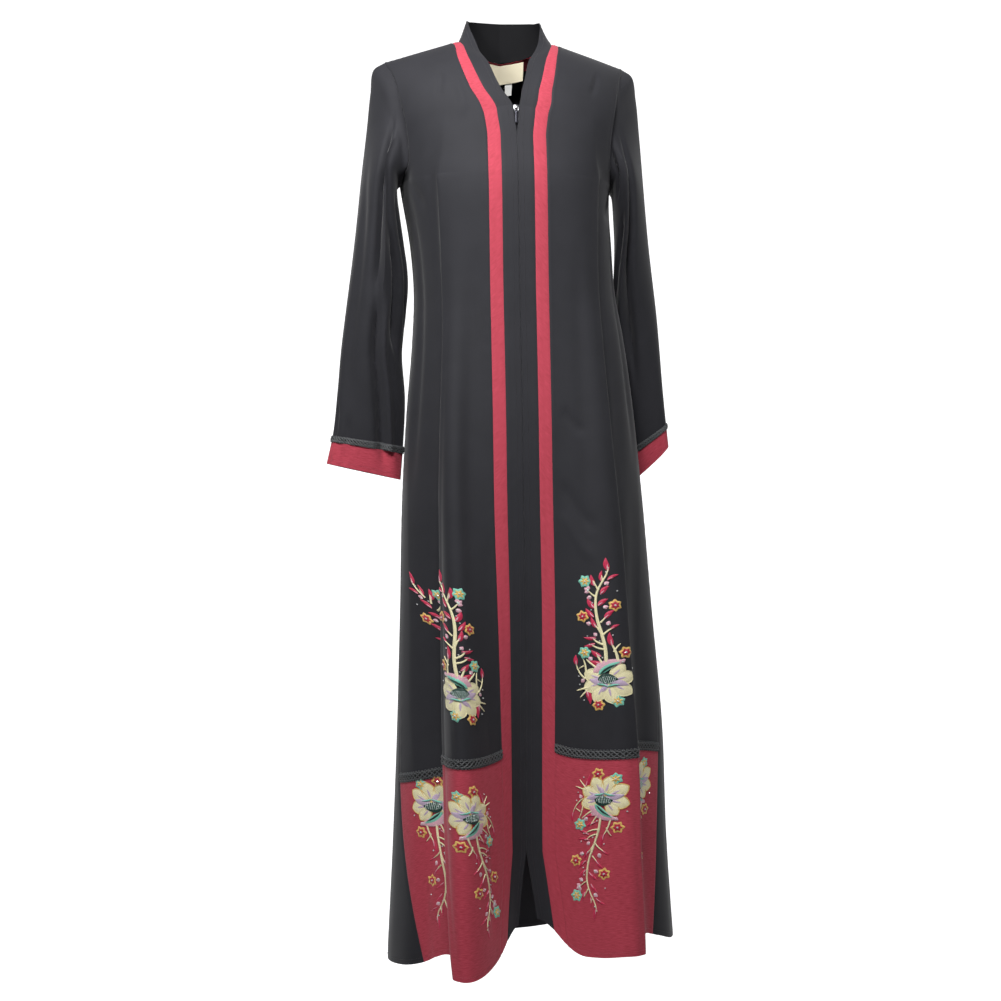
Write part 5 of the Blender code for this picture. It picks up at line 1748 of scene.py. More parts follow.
def laid_on_front(side, points, row):
    """Flat points of a spray laid on a front or its hem panel, with its folds and creases."""
    out, up, height = (points[:, i] * SPRAY_SCALE * MILLIMETRE for i in range(3))
    z = row["up_at"] + row["points"] * up
    cloth = side * (row["cloth"] + out + row["lean"] * up)
    share, width = front_place(side, cloth, z)
    normals = skirt_normals(cloth, z)
    points = on_skirt(cloth, z) + normals * height[:, None]
    return creased_front(side, share, z, width, points, normals)


def build_embroidery(context):
    """Flower sprays: on the black fronts, and upside down on the maroon panels."""
    threads = [thread(context, name) for name in THREADS]
    for number, row in enumerate(by_name(SPRAY_NAMES, SPRAYS), 1):
        side = SIDES[row["piece"]]
        parts = []
        for part in flat_spray(row["thin"], 0.74 if row["shows_from"] else 0.0):
            out, up = part["points"][:, :2].mean(axis=0) * MILLIMETRE
            if row["cloth"] + out + row["lean"] * up < row["shows_from"]:
                continue
            part["points"] = laid_on_front(side, part["points"], row)
            if side * row["points"] < 0:
                part["faces"] = [face[::-1] for face in part["faces"]]
            parts.append(part)
        piece = add_piece(f"spray_{row['piece']}_{number}", parts, threads, 35)
        finish_piece(piece)


# Braids

def braid_point(side, share, across):
    """A place on a front's braid, at a share along it and from its top (0) to its foot (1)."""
    def cloth_at(z):
        return side * (strip_edge(z) * (1 - share) + side_seam(z, side) * share)

    z = hem_and_braid(cloth_at(HEM_NOMINAL))[1] + HEM_BRAID * (1 - across)
    cloth = cloth_at(z)
    place, width = front_place(side, cloth, z)
    normals = skirt_normals(cloth, z)
    return creased_front(side, place, z, width, on_skirt(cloth, z), normals), normals


def cuff_braid_point(name, share, across):
    """A place on a cuff's braid, at a share round it and from its top (0) to its foot (1)."""
    grid, normals = SURFACES["sleeve_" + name]
    height = sleeve_heights(name, grid, 0.0)
    band = slice(-1 - BRAID_ROWS, None)
    points = raised(grid, normals, height)[band]
    round_points = np.concatenate([points, points[:, :1]], axis=1)
    round_out = np.concatenate([normals[band], normals[band][:, :1]], axis=1)
    walked = walk(round_points[0])
    column = np.interp(share, walked / walked[-1], np.arange(len(walked)))
    row = across * BRAID_ROWS
    return between(round_points, row, column), unit(between(round_out, row, column))


def braid_parts(place_at, length, width, closed):
    """Four plaited cords between two rows of small loops, on a thin ribbon."""
    wave = BRAID_WAVE * width / HEM_BRAID
    waves = round(length / wave)

    def shares(steps, end):
        """Places along the braid: all round it, or from just inside one end to the other."""
        count = waves * steps + 1
        return np.linspace(0, 1, count)[:-1] if closed else np.linspace(end, 1 - end, count)

    share = shares(CORD_STEPS, 0.002)
    turn = share * waves * 2 * math.pi
    parts = []
    edges = np.linspace(0.10, 0.90, 4)
    ribbon = [place_at(share, np.full(len(share), across)) for across in edges]
    low = np.stack([points + normals * BRAID_RIBBON[0] for points, normals in ribbon])
    high = np.stack([points + normals * BRAID_RIBBON[1] for points, normals in ribbon])
    parts.append(patch(high, low, closed))
    for number in range(4):
        phase = turn + number * math.pi / 2
        across = BRAID_MIDDLE + CORD_SWING * np.sin(phase)
        points, normals = place_at(share, across)
        lift = BRAID_RIBBON[1] + BRAID_CORD * (0.40 + 0.30 * np.cos(phase))
        path = points + normals * lift[:, None]
        part = tube(path, normals, BRAID_CORD / 2, 6, closed, 0.6)
        part["material"] = 1
        parts.append(part)
    loops = shares(LOOP_STEPS, 0.003)
    loop_turn = loops * waves * LOOPS_PER_WAVE * 2 * math.pi
    for edge, sense in LOOP_EDGES:
        back = 0.28 * np.sin(2 * loop_turn) * wave / LOOPS_PER_WAVE / length
        across = edge + sense * LOOP_REACH * np.cos(loop_turn)
        points, normals = place_at(np.clip(loops + back * 0.5, 0, 1), across)
        path = points + normals * (BRAID_RIBBON[1] + BRAID_LOOP * 0.7)
        part = tube(path, normals, BRAID_LOOP / 2, 5, closed)
        part["material"] = 1
        parts.append(part)
    return parts


def build_braids(context):
    """The black braids over the hem panels' seams and above the cuffs."""
    finishes = [braid(context), braid_edge(context)]
    for name, side in SIDES.items():
        length = side_seam(-1.17, side) - strip_edge(-1.17)
        parts = braid_parts(lambda share, across: braid_point(side, share, across), length,
                            HEM_BRAID, False)
        piece = add_piece("hem_braid_cords_" + name, parts, finishes, 60)
        finish_piece(piece, ["hem_braid_" + name])
        band = SURFACES["sleeve_" + name][0][-1]
        length = walk(band)[-1]
        parts = braid_parts(lambda share, across: cuff_braid_point(name, share, across), length,
                            CUFF_BRAID, True)
        piece = add_piece("cuff_braid_cords_" + name, parts, finishes, 60)
        finish_piece(piece, ["cuff_braid_" + name])


# Zip and labels

def zip_grid():
    """The zip tape's face, from the zip's top to the slit, and its normals."""
    z = np.linspace(ZIP_TOP, ZIP_FOOT, 420)
    cloth = np.linspace(-ZIP_TAPE_HALF, ZIP_TAPE_HALF, 7)
    chest = z >= ARMPIT
    x = section("middle", z[chest])[:, None] + cloth
    upper = on_chest(x, np.broadcast_to(z[chest][:, None], x.shape), -1)
    low_z = np.broadcast_to(z[~chest][:, None], (np.sum(~chest), len(cloth)))
    grid = np.concatenate([upper, on_skirt(np.broadcast_to(cloth, low_z.shape), low_z)])
    normals = grid_normals(grid)
    return grid - normals * ZIP_TAPE_BEHIND, normals


def slider_frame():
    """The slider's frame on the tape's face: across, out of the cloth, up the cloth."""
    joint = next(joint for joint in frame["joints"] if joint["name"] == "pull_tab_hinge")
    grid, _ = zip_grid()
    up_cloth = unit(grid[0, 3] - grid[6, 3])
    across = -np.array(joint["axis"], float)
    out = unit(np.cross(across, up_cloth) * -1)
    if out[1] > 0:
        out = -out
    up_cloth = unit(np.cross(across, out))
    if up_cloth[2] < 0:
        up_cloth = -up_cloth
    return np.array(joint["pos_m"], float), across, out, up_cloth


def shape_part(shape):
    """The points and faces of a finished shape, which is freed."""
    shape.verts.index_update()
    points = np.array([vert.co[:] for vert in shape.verts])
    faces = [[vert.index for vert in face.verts] for face in shape.faces]
    shape.free()
    return {"points": points, "faces": faces, "places": points[:, ::2]}


def rounded_bar(place, half):
    """A box with its corners taken off, in the slider's own axes."""
    shape = bmesh.new()
    bmesh.ops.create_cube(shape, size=2.0)
    bmesh.ops.scale(shape, vec=Vector(half), verts=shape.verts)
    bmesh.ops.bevel(shape, geom=shape.edges[:], offset=min(half) * 0.6, segments=2,
                    profile=0.5, affect="EDGES", clamp_overlap=True)
    bmesh.ops.translate(shape, vec=Vector(place) + Vector((0, SLIDER_SEAT, 0)), verts=shape.verts)
    return shape_part(shape)


def build_zip(context):
    """The zip: its tape, its coil, the slider and the pull tab."""
    grid, normals = zip_grid()
    part = cloth_patch(grid, normals, ZIP_TAPE_THICK)
    piece = add_piece("zip_tape_cloth", [part], [crepe(context)])
    finish_piece(piece, ["zip_tape"])
    declare_cloth(piece, grid)

    # Coil turns lie 1.1 mm apart on such a zip, and are drawn at 1.5 mm so that they show
    middle, out = grid[:, 3], normals[:, 3]
    walked = walk(middle)
    places = np.arange(0.0, walked[-1], COIL_PITCH)
    teeth = []
    for side in (-1, 1):
        shift = 0.0 if side < 0 else COIL_PITCH / 2
        at = np.clip(places + shift, 0, walked[-1])
        point = read_at(at, walked, middle)
        normal = unit(read_at(at, walked, out))
        across = unit(np.cross(UP, normal)) * side
        for p, n, a in zip(point, normal, across):
            path = p + np.outer(COIL_OUT, n) + np.outer(COIL_ACROSS, a)
            along = np.broadcast_to(np.cross(n, a), path.shape)
            teeth.append(tube(path, along, COIL_WIRE, 4))
    piece = add_piece("zip_coil", teeth, [nylon(context)])
    finish_piece(piece)

    pivot, across, out, up_cloth = slider_frame()
    axes = np.stack([across, out, up_cloth])

    def placed(parts):
        for part in parts:
            part["points"] = pivot + part["points"] @ axes
            part["faces"] = [face[::-1] for face in part["faces"]]
        return parts

    body = [rounded_bar(place, half) for place, half in SLIDER_BARS]
    t = np.linspace(0, math.pi, ARCH_STEPS)
    rise = SLIDER_SEAT + ARCH_FOOT + ARCH_RISE * np.sin(t) ** 0.6
    arch = np.stack([np.zeros(ARCH_STEPS), rise, ARCH_HALF * np.cos(t)], axis=1)
    bridge = tube(arch, np.broadcast_to(np.array([1.0, 0.0, 0.0]), arch.shape), ARCH_WIRE, 10)
    bridge["points"][:, 0] *= 1.15
    body.append(bridge)
    piece = add_piece("slider_body", placed(body), [bright_metal(context)], 40)
    finish_piece(piece, ["zip_slider"])

    piece = add_piece("pull_tab_plate", placed(pull_tab_parts()), [dark_metal(context)], 40)
    finish_piece(piece, ["pull_tab"], "pull_tab")


def pull_tab_parts():
    """The pull tab about its hinge: a window's frame, a neck and a long rounded blade."""
    # One side from the hinge down: shares of the half width, and heights
    half = (
        (1.0, 0.0004), (0.98, -TAB_WINDOW), (0.72, -TAB_NECK), (0.80, -TAB_WAIST),
        (1.0, 0.0035 - TAB_END), (0.8, 0.0009 - TAB_END), (0.35, -TAB_END),
    )
    down = [(TAB_HALF * share, z) for share, z in half]
    outline = [(-TAB_HALF, half[0][1]), *down, *((-x, z) for x, z in down[:0:-1])]
    shape = bmesh.new()
    rims = []
    for ring_points in (outline, TAB_HOLE):
        verts = [shape.verts.new((x, 0.0, z)) for x, z in ring_points]
        count = len(verts)
        rims.extend(shape.edges.new((verts[i], verts[(i + 1) % count])) for i in range(count))
    filled = bmesh.ops.triangle_fill(shape, edges=rims, use_beauty=True)
    faces = [face for face in filled["geom"] if isinstance(face, bmesh.types.BMFace)]
    extruded = bmesh.ops.extrude_face_region(shape, geom=faces)
    moved = [vert for vert in extruded["geom"] if isinstance(vert, bmesh.types.BMVert)]
    bmesh.ops.translate(shape, vec=(0.0, TAB_THICK, 0.0), verts=moved)
    bmesh.ops.translate(shape, vec=(0.0, -TAB_THICK / 2, 0.0), verts=shape.verts)
    bmesh.ops.recalc_face_normals(shape, faces=shape.faces)
    sharp = [edge for edge in shape.edges if edge.calc_face_angle(0.0) > 0.9]
    bmesh.ops.bevel(shape, geom=sharp, offset=TAB_ROUNDING, segments=2, profile=0.5,
                    affect="EDGES", clamp_overlap=True)
    return [shape_part(shape)]


def build_labels(context):
    """The label inside the back neck and the small tab below it, both bare."""
    station = np.linspace(CENTRE_BACK_STATION, CENTRE_BACK_STATION - 1.2, 60)
    x, z = neck_at("seam", station)
    places = np.linspace(-NECK_LABEL_WIDTH / 2, NECK_LABEL_WIDTH / 2, 25)
    top = on_chest(places, np.interp(np.abs(places), x, z) - NECK_LABEL_BELOW_SEAM, 1)
    off_the_cloth = unit(np.array([0.0, -0.75, -0.66])) * LABEL_OFF
    hang = unit(np.array([0.0, 0.30, -1.0]))
    towards_back = unit(np.array([0.0, 1.0, 0.30]))
    drop = np.linspace(0, NECK_LABEL_DEPTH, 15)[:, None, None]
    face = top[None] + off_the_cloth + hang * drop
    wave = LABEL_WAVE * np.sin(places / 0.012)[None, :, None] * (drop / NECK_LABEL_DEPTH)
    face = face - towards_back * np.abs(wave)
    label = patch(face, face + towards_back * LABEL_THICK)
    piece = add_piece("label_cloth", [label], [satin(context, "cream")])
    finish_piece(piece, ["neck_label"])
    declare_cloth(piece, face)
    path = np.concatenate([face[1, 1:-1], face[2:-1, -2], face[-2, -3:0:-1], face[-2:1:-1, 1]])
    path = path - towards_back * LABEL_STITCH_OFF
    normals = np.broadcast_to(-towards_back, path.shape)
    stitches = stitch_row(path, normals, LABEL_STITCH, LABEL_THREAD)
    piece = add_piece("label_stitches", stitches, [sewing_thread(context, "cream")])
    finish_piece(piece)

    tab_x = SIZE_TAB_X + np.linspace(-0.5, 0.5, 5) * SIZE_TAB_WIDTH
    tab_top = read_at(tab_x, places, face[0])
    tab_drop = NECK_LABEL_DEPTH + np.linspace(-SIZE_TAB_TUCKED, SIZE_TAB_SHOWS, 12)
    tab = tab_top[None] + hang * tab_drop[:, None, None] + towards_back * TAB_BEHIND_LABEL
    narrowed = 1 - 0.12 * np.linspace(0, 1, 12)[:, None] ** 2
    tab[..., 0] = SIZE_TAB_X + (tab[..., 0] - SIZE_TAB_X) * narrowed
    part = patch(tab, tab + towards_back * LABEL_THICK)
    piece = add_piece("size_tab_cloth", [part], [satin(context, "white")])
    finish_piece(piece, ["size_tab"])
    declare_cloth(piece, tab)


# Stitching

def stitch_row(path, normals, pitch, radius):
    """A row of sewn stitches along a path: small raised beads with gaps between them."""
    walked = walk(path)
    parts = []
    for start in np.arange(pitch * 0.3, walked[-1] - pitch, pitch):
        at = start + pitch * np.array([0.0, 0.18, 0.54, 0.72])
        point = read_at(at, walked, path)
        normal = unit(read_at(at, walked, normals))
        point = point + normal * (radius * np.array([-0.8, 0.6, 0.6, -0.8]))[:, None]
        parts.append(tube(point, normal, radius * np.array([0.55, 1.0, 1.0, 0.55]), 4))
    return parts


def line_in(face, off):
    """The line in a face that runs down it at a distance from its first column."""
    return np.array([read_at([off], walk(row), row)[0] for row in face])


def line_above_hem(face, off):
    """The line in a face that runs across it at a distance above its last row."""
    return line_in(face[::-1].transpose(1, 0, 2), off)


def build_stitches(context):
    """Topstitching down the plackets and round the hems and cuffs."""
    sizes = context.scene.abaya_sizes
    black = [sewing_thread(context, "black")]
    red = [sewing_thread(context, "maroon")]
    foot = len(SHARES) - 1 + ROW_BRAID_FOOT
    radius = sizes.stitch_thread
    hem_line = sizes.hem_turn_up - STITCH_IN_TURN_UP
    for name, side in SIDES.items():
        grid, normals = SURFACES["placket_" + name]
        sewn = ("last column",)
        height = grid_heights("placket_" + name, grid, sewn, sewn)
        face = raised(grid, normals, height)
        parts = []
        for off in TOPSTITCHES:
            path = line_in(face, off)
            parts.extend(stitch_row(path, normals[:, 1], sizes.stitch, radius))
        piece = add_piece("placket_stitches_" + name, parts, black)
        finish_piece(piece)

        face, normals = front_face(side)
        path = line_above_hem(face[foot:], hem_line)
        parts = stitch_row(path, normals[-3], sizes.stitch, radius)
        piece = add_piece("hem_stitches_" + name, parts, red)
        finish_piece(piece)

        _, normals, face = cuff_face(name)
        path = line_above_hem(np.concatenate([face, face[:, :1]], axis=1), hem_line)
        round_out = np.concatenate([normals[-3], normals[-3][:1]])
        parts = stitch_row(path, round_out, sizes.stitch, radius)
        piece = add_piece("cuff_stitches_" + name, parts, red)
        finish_piece(piece)

    _, normals, face = back_face()
    parts = stitch_row(line_above_hem(face, hem_line), normals[-3], sizes.stitch, radius)
    piece = add_piece("hem_stitches_back", parts, black)
    finish_piece(piece)


# Materials

def add_node(tree, kind, settings=(), links=()):
    """Add one node with its settings, and link sockets of other nodes into it.

    settings are attributes or, by number or name, the defaults of its input sockets.
    """
    node = tree.nodes.new(kind)
    for name, value in dict(settings).items():
        if isinstance(name, int) or name in node.inputs:
            node.inputs[name].default_value = value
        else:
            setattr(node, name, value)
    for name, (source, output) in dict(links).items():
        tree.links.new(source.outputs[output], node.inputs[name])
    return node


def new_material(name, settings):
    """An empty material with a Principled shader; returns the tree and the shader."""
    made = bpy.data.materials.new(name)
    made.use_nodes = True
    tree = made.node_tree
    shader = tree.nodes["Principled BSDF"]
    for socket, value in settings.items():
        shader.inputs[socket].default_value = value
    return made, tree, shader


def once(build):
    """Build a material, or each material of a family, on its first use only."""
    made = {}

    def found(context, *name):
        if name not in made:
            made[name] = build(context, *name)
        return made[name]
    return found


def weave_place(tree):
    """The place along and up the cloth, in metres."""
    return add_node(tree, "ShaderNodeUVMap", {"uv_map": WEAVE_MAP})


def mixed(tree, dark, light, source, output=0):
    """Two colours, mixed by an output of another node."""
    return add_node(tree, "ShaderNodeMix", {"data_type": "RGBA", 6: dark, 7: light},
                    {0: (source, output)})


def link(tree, source, output, shader, socket):
    """Link a node's output into the shader."""
    tree.links.new(source.outputs[output], shader.inputs[socket])


def bumped(tree, shader, source, output, strength, distance):
    """Raise the surface by an output of a node, by a distance in metres."""
    bump = add_node(tree, "ShaderNodeBump", {"Strength": strength, "Distance": distance},
                    {"Height": (source, output)})
    link(tree, bump, 0, shader, "Normal")


def darkened(base, share):
    """A colour at a share of its light."""
    return tuple(value * share for value in base[:3]) + (1.0,)


@once
def crepe(context):
    """Black polyester crepe, crinkled in the weaving: matt, with a fine pebbled grain.

    It scatters light softly, so folds show as broad greys with a lighter edge.
    """
    colours = context.scene.abaya_colours
    made, tree, shader = new_material("black_polyester_crepe", {
        "Roughness": 0.74,
        "IOR": 1.5,
        "Specular IOR Level": 0.25,
        "Sheen Weight": 0.10,
        "Sheen Roughness": 0.45,
        "Sheen Tint": (1.0, 1.0, 1.0, 1.0),
    })
    place = weave_place(tree)
    # Crepe threads lie 0.25 mm apart. The grain is drawn at 1.2 mm, so that it shows
    grain = add_node(tree, "ShaderNodeTexNoise",
                     {"Scale": 1 / 0.0012, "Detail": 3.0, "Roughness": 0.6},
                     {"Vector": (place, "UV")})
    cloud = add_node(tree, "ShaderNodeTexNoise", {"Scale": 1 / 0.060, "Detail": 2.0},
                     {"Vector": (place, "UV")})
    shade = mixed(tree, colours.crepe, colours.crepe_light, grain)
    soft = add_node(tree, "ShaderNodeMapRange", {1: 0.3, 2: 0.7, 3: 0.92, 4: 1.08}, {0: (cloud, 0)})
    tinted = add_node(tree, "ShaderNodeVectorMath", {"operation": "SCALE"},
                      {0: (shade, 2), "Scale": (soft, 0)})
    link(tree, tinted, 0, shader, "Base Color")
    bumped(tree, shader, grain, 0, 0.25, 0.0002)
    return made


@once
def lining(context):
    """Black lining twill inside the collar: matt, with fine slanting ribs. It is much darker than
    the crepe, and that darkness is painted shade inside the neck.
    """
    colours = context.scene.abaya_colours
    made, tree, shader = new_material("black_twill_lining", {
        "Roughness": 0.85,
        "Specular IOR Level": 0.1,
    })
    place = weave_place(tree)
    # Twill ribs lie 0.5 mm apart, and are drawn at 1.5 mm so that they show
    ribs = add_node(tree, "ShaderNodeTexWave",
                    {"bands_direction": "DIAGONAL", "Scale": 0.3 / 0.0015},
                    {"Vector": (place, "UV")})
    shade = mixed(tree, darkened(colours.lining, 0.6), colours.lining, ribs, 1)
    link(tree, shade, 2, shader, "Base Color")
    return made


@once
def maroon(context):
    """Maroon polyester woven with uneven slub yarn across it: matt, with thick and thin lines."""
    colours = context.scene.abaya_colours
    made, tree, shader = new_material("maroon_slub_weave", {
        "Roughness": 0.78,
        "IOR": 1.5,
        "Specular IOR Level": 0.2,
        "Sheen Weight": 0.10,
        "Sheen Roughness": 0.5,
    })
    place = weave_place(tree)
    # Slubs run about 10 mm across the cloth and lie about 1 mm apart
    across = add_node(tree, "ShaderNodeMapping", {"Scale": (1 / 0.010, 1 / 0.0012, 1.0)},
                      {"Vector": (place, "UV")})
    slub = add_node(tree, "ShaderNodeTexNoise", {"Scale": 1.0, "Detail": 2.0, "Roughness": 0.55},
                    {"Vector": (across, 0)})
    # The plain weave's threads lie 0.4 mm apart, and are drawn at 1 mm so that they show
    fine = add_node(tree, "ShaderNodeTexNoise", {"Scale": 1 / 0.0010, "Detail": 2.0},
                    {"Vector": (place, "UV")})
    coarse = add_node(tree, "ShaderNodeMath", {"operation": "MULTIPLY_ADD", 1: 0.7, 2: 0.0},
                      {0: (slub, 0)})
    height = add_node(tree, "ShaderNodeMath", {"operation": "MULTIPLY_ADD", 1: 0.3},
                      {0: (fine, 0), 2: (coarse, 0)})
    steps = add_node(tree, "ShaderNodeMapRange", {1: 0.36, 2: 0.64}, {0: (height, 0)})
    shade = mixed(tree, colours.maroon, colours.maroon_light, steps)
    link(tree, shade, 2, shader, "Base Color")
    bumped(tree, shader, height, 0, 0.35, 0.00025)
    return made


@once
def braid(context):
    """Black rayon ribbon under the braid's cords: dull. Its near-black colour, darker than the
    crepe, is partly the braid's own black and partly painted shade in the gaps between the cords.
    """
    return filament(context.scene.abaya_colours.braid, "black_rayon_ribbon", 0.7, 0.0011)


@once
def braid_edge(context):
    """The braid's plaited cords and looped edges: twisted charcoal yarn, softly silky."""
    return filament(context.scene.abaya_colours.braid_edge, "charcoal_rayon_cord", 0.6, 0.0011)


@once
def nylon(context):
    """Black nylon monofilament, extruded and coiled: smooth, with a tight highlight."""
    made, tree, shader = new_material("black_nylon_coil", {"Roughness": 0.3, "IOR": 1.53})
    wear = add_node(tree, "ShaderNodeTexNoise", {"Scale": 900.0, "Detail": 1.0})
    colours = context.scene.abaya_colours
    shade = mixed(tree, colours.nylon, colours.nylon_light, wear)
    link(tree, shade, 2, shader, "Base Color")
    return made


def filament(base, name, roughness, spacing):
    """Twisted filament yarn: fine slanting lines across its own length."""
    made, tree, shader = new_material(name, {
        "Roughness": roughness,
        "IOR": 1.47,
        "Sheen Weight": 0.2,
        "Sheen Roughness": 0.4,
    })
    place = weave_place(tree)
    # Filaments are 0.05 to 0.4 mm thick. Their lines are drawn wider, so that they show
    lines = add_node(tree, "ShaderNodeTexWave",
                     {"wave_type": "BANDS", "bands_direction": "DIAGONAL",
                      "Scale": 0.16 / spacing, "Distortion": 1.2, "Detail": 1.0,
                      "Detail Scale": 2.0},
                     {"Vector": (place, "UV")})
    shade = mixed(tree, darkened(base, 0.62), tuple(base), lines, 1)
    link(tree, shade, 2, shader, "Base Color")
    bumped(tree, shader, lines, 1, 0.5, 0.00015)
    return made


@once
def thread(context, name):
    """Embroidery thread: rayon worked in satin stitch, bright, with fine lines along it.

    The crystal is cut glass on a foil back.
    """
    colours = context.scene.abaya_colours
    if name != "crystal":
        return filament(getattr(colours, "thread_" + name), f"{name}_rayon_thread", 0.45, 0.0007)
    made, tree, shader = new_material("foiled_glass_crystal", {
        "Roughness": 0.08,
        "Metallic": 0.55,
        "Coat Weight": 1.0,
        "Coat Roughness": 0.03,
    })
    # Lighter cells are painted glints on the crystal's facets
    facet = add_node(tree, "ShaderNodeTexVoronoi", {"Scale": 700.0})
    link(tree, mixed(tree, colours.crystal, colours.crystal_painted_glint, facet), 2, shader, "Base Color")
    return made


@once
def satin(context, name):
    """Woven satin ribbon: smooth long floats, with a soft band of shine."""
    base = getattr(context.scene.abaya_colours, "satin_" + name)
    return filament(base, f"{name}_satin_ribbon", 0.5, 0.0006)


@once
def sewing_thread(context, name):
    """Spun polyester sewing thread: matt, with a faint twist."""
    base = getattr(context.scene.abaya_colours, "sewing_" + name)
    return filament(base, f"{name}_polyester_thread", 0.6, 0.0006)


def plated(name, base, roughness):
    """Zinc die casting, plated and tumbled: rounded edges and a slightly uneven gloss."""
    made, tree, shader = new_material(name, {"Metallic": 1.0})
    # Tumbling leaves a fine unevenness, about 1 mm across
    cloud = add_node(tree, "ShaderNodeTexNoise", {"Scale": 1000.0, "Detail": 2.0})
    gloss = add_node(tree, "ShaderNodeMapRange", {3: roughness * 0.7, 4: roughness * 1.4},
                     {0: (cloud, 0)})
    link(tree, gloss, 0, shader, "Roughness")
    link(tree, mixed(tree, darkened(base, 0.8), tuple(base), cloud), 2, shader, "Base Color")
    return made


@once
def dark_metal(context):
    """The pull tab's dark nickel plating."""
    return plated("black_nickel_plated_zinc", context.scene.abaya_colours.dark_metal, 0.32)


@once
def bright_metal(context):
    """The slider's silver nickel plating."""
    return plated("nickel_plated_zinc", context.scene.abaya_colours.bright_metal, 0.24)


# The stage

def build_stage(context):
    """Floor and backdrop in one pale sweep, soft studio lights, and the camera."""
    build_sweep(context)
    build_surround(context)
    build_lights(context)
    build_camera(context)


@once
def paper(context):
    """Seamless paper: dead matt and white, with a faint tooth, and a painted glow of its own that
    stands in for light from behind it.
    """
    colours = context.scene.abaya_colours
    made, tree, shader = new_material("matt_white_paper", {"Roughness": 0.9})
    tooth = add_node(tree, "ShaderNodeTexNoise", {"Scale": 400.0, "Detail": 2.0})
    link(tree, mixed(tree, colours.paper, colours.paper_light, tooth), 2, shader, "Base Color")
    shader.inputs["Emission Color"].default_value = (1.0, 1.0, 1.0, 1.0)
    # The paper's painted glow begins at the garment, and fades out to the sides and top; it lights
    # the garment as a lamp would
    place = add_node(tree, "ShaderNodeTexCoord")
    apart = add_node(tree, "ShaderNodeSeparateXYZ", links={0: (place, "Object")})
    off = add_node(tree, "ShaderNodeMath", {"operation": "SUBTRACT", 1: GLOW_MIDDLE},
                   {0: (apart, "X")})
    off = add_node(tree, "ShaderNodeMath", {"operation": "ABSOLUTE"}, {0: (off, 0)})
    glow = None
    for source, (start, end) in (
        ((apart, "Y"), GLOW_BACK), ((off, 0), GLOW_SIDE), ((apart, "Z"), GLOW_UP)
    ):
        settings = {
            "interpolation_type": "SMOOTHSTEP", 1: start, 2: end,
            4: context.scene.abaya_lights.paper_glow,
        }
        links = {0: source, 4: (glow, 0)} if glow else {0: source}
        glow = add_node(tree, "ShaderNodeMapRange", settings, links)
    # Seen straight on, the paper is the same white all round, as in a light tent
    ray = add_node(tree, "ShaderNodeLightPath")
    shown = add_node(tree, "ShaderNodeMath", {"operation": "MAXIMUM"},
                     {0: (glow, 0), 1: (ray, "Is Camera Ray")})
    link(tree, shown, 0, shader, "Emission Strength")
    return made


def build_sweep(context):
    """The floor and the backdrop in one sweep of paper."""
    profile = [(SWEEP_FRONT, FLOOR), (SWEEP_BACK, FLOOR)]
    for step in range(1, SWEEP_STEPS + 1):
        turn = step / SWEEP_STEPS * math.pi / 2
        y = SWEEP_BACK + SWEEP_RADIUS * math.sin(turn)
        profile.append((y, FLOOR + SWEEP_RADIUS * (1 - math.cos(turn))))
    profile.append((SWEEP_BACK + SWEEP_RADIUS, SWEEP_TOP))
    points = [(x, y, z) for x in (-SWEEP_HALF, SWEEP_HALF) for y, z in profile]
    count = len(profile)
    faces = [(i, i + 1, count + i + 1, count + i) for i in range(count - 1)]
    mesh = bpy.data.meshes.new("paper_sweep")
    mesh.from_pydata(points, [], faces)
    mesh.materials.append(paper(context))
    mesh.shade_smooth()
    sweep = bpy.data.objects.new("paper_sweep", mesh)
    context.scene.collection.objects.link(sweep)


def build_surround(context):
    """The world: a weak white light all round, which the camera sees as plain white."""
    world = bpy.data.worlds.new("studio")
    world.use_nodes = True
    background = world.node_tree.nodes["Background"]
    background.inputs["Color"].default_value = (1.0, 1.0, 1.0, 1.0)
    ray = add_node(world.node_tree, "ShaderNodeLightPath")
    level = add_node(world.node_tree, "ShaderNodeMapRange",
                     {3: context.scene.abaya_lights.surround, 4: 1.0},
                     {0: (ray, "Is Camera Ray")})
    link(world.node_tree, level, 0, background, "Strength")
    context.scene.world = world


def build_lights(context):
    """Softboxes in front, above, beside and behind."""
    for name, place, size, spread in SOFTBOXES:
        lamp = bpy.data.lights.new(name + "_softbox", "AREA")
        lamp.size = size
        lamp.energy = getattr(context.scene.abaya_lights, name)
        lamp.spread = math.radians(spread)
        softbox = bpy.data.objects.new(name + "_softbox", lamp)
        softbox.location = place
        aim = Vector(LIGHTS_AIM) - softbox.location
        softbox.rotation_euler = aim.to_track_quat("-Z", "Y").to_euler()
        context.scene.collection.objects.link(softbox)


def build_camera(context):
    """The camera, level and a little round to the wearer's right."""
    scene = context.scene
    lens = bpy.data.cameras.new("camera")
    lens.sensor_width = SENSOR
    lens.sensor_fit = "HORIZONTAL"
    lens.lens = SENSOR * CAMERA_DISTANCE / CAMERA_FRAME
    camera = bpy.data.objects.new("camera", lens)
    camera.location = CAMERA_PLACE
    camera.rotation_euler = (math.pi / 2, 0.0, -CAMERA_AZIMUTH)
    scene.collection.objects.link(camera)
    scene.camera = camera
    scene.view_settings.view_transform = "Standard"


# The add-on

def metres(name, description, default):
    """A length that a user may change."""
    return bpy.props.FloatProperty(
        name=name, description=description, default=default, unit="LENGTH", precision=5, min=0.0
    )


def colour(name, description, default):
    """A colour that a user may change, from its display value."""
    return bpy.props.FloatVectorProperty(
        name=name, description=description, default=from_hex(default), subtype="COLOR", size=4,
        min=0.0, max=1.0,
    )


class AbayaSizes(bpy.types.PropertyGroup):
    cloth: metres("Cloth", "How thick the cloth is", 0.0008)
    hem_turn_up: metres("Hem turn-up", "How deep the hem is turned up inside", 0.009)
    stitch: metres("Stitch", "From one stitch to the next", 0.0035)
    stitch_thread: metres("Stitch thread", "Half of the sewing thread's thickness", 0.00028)


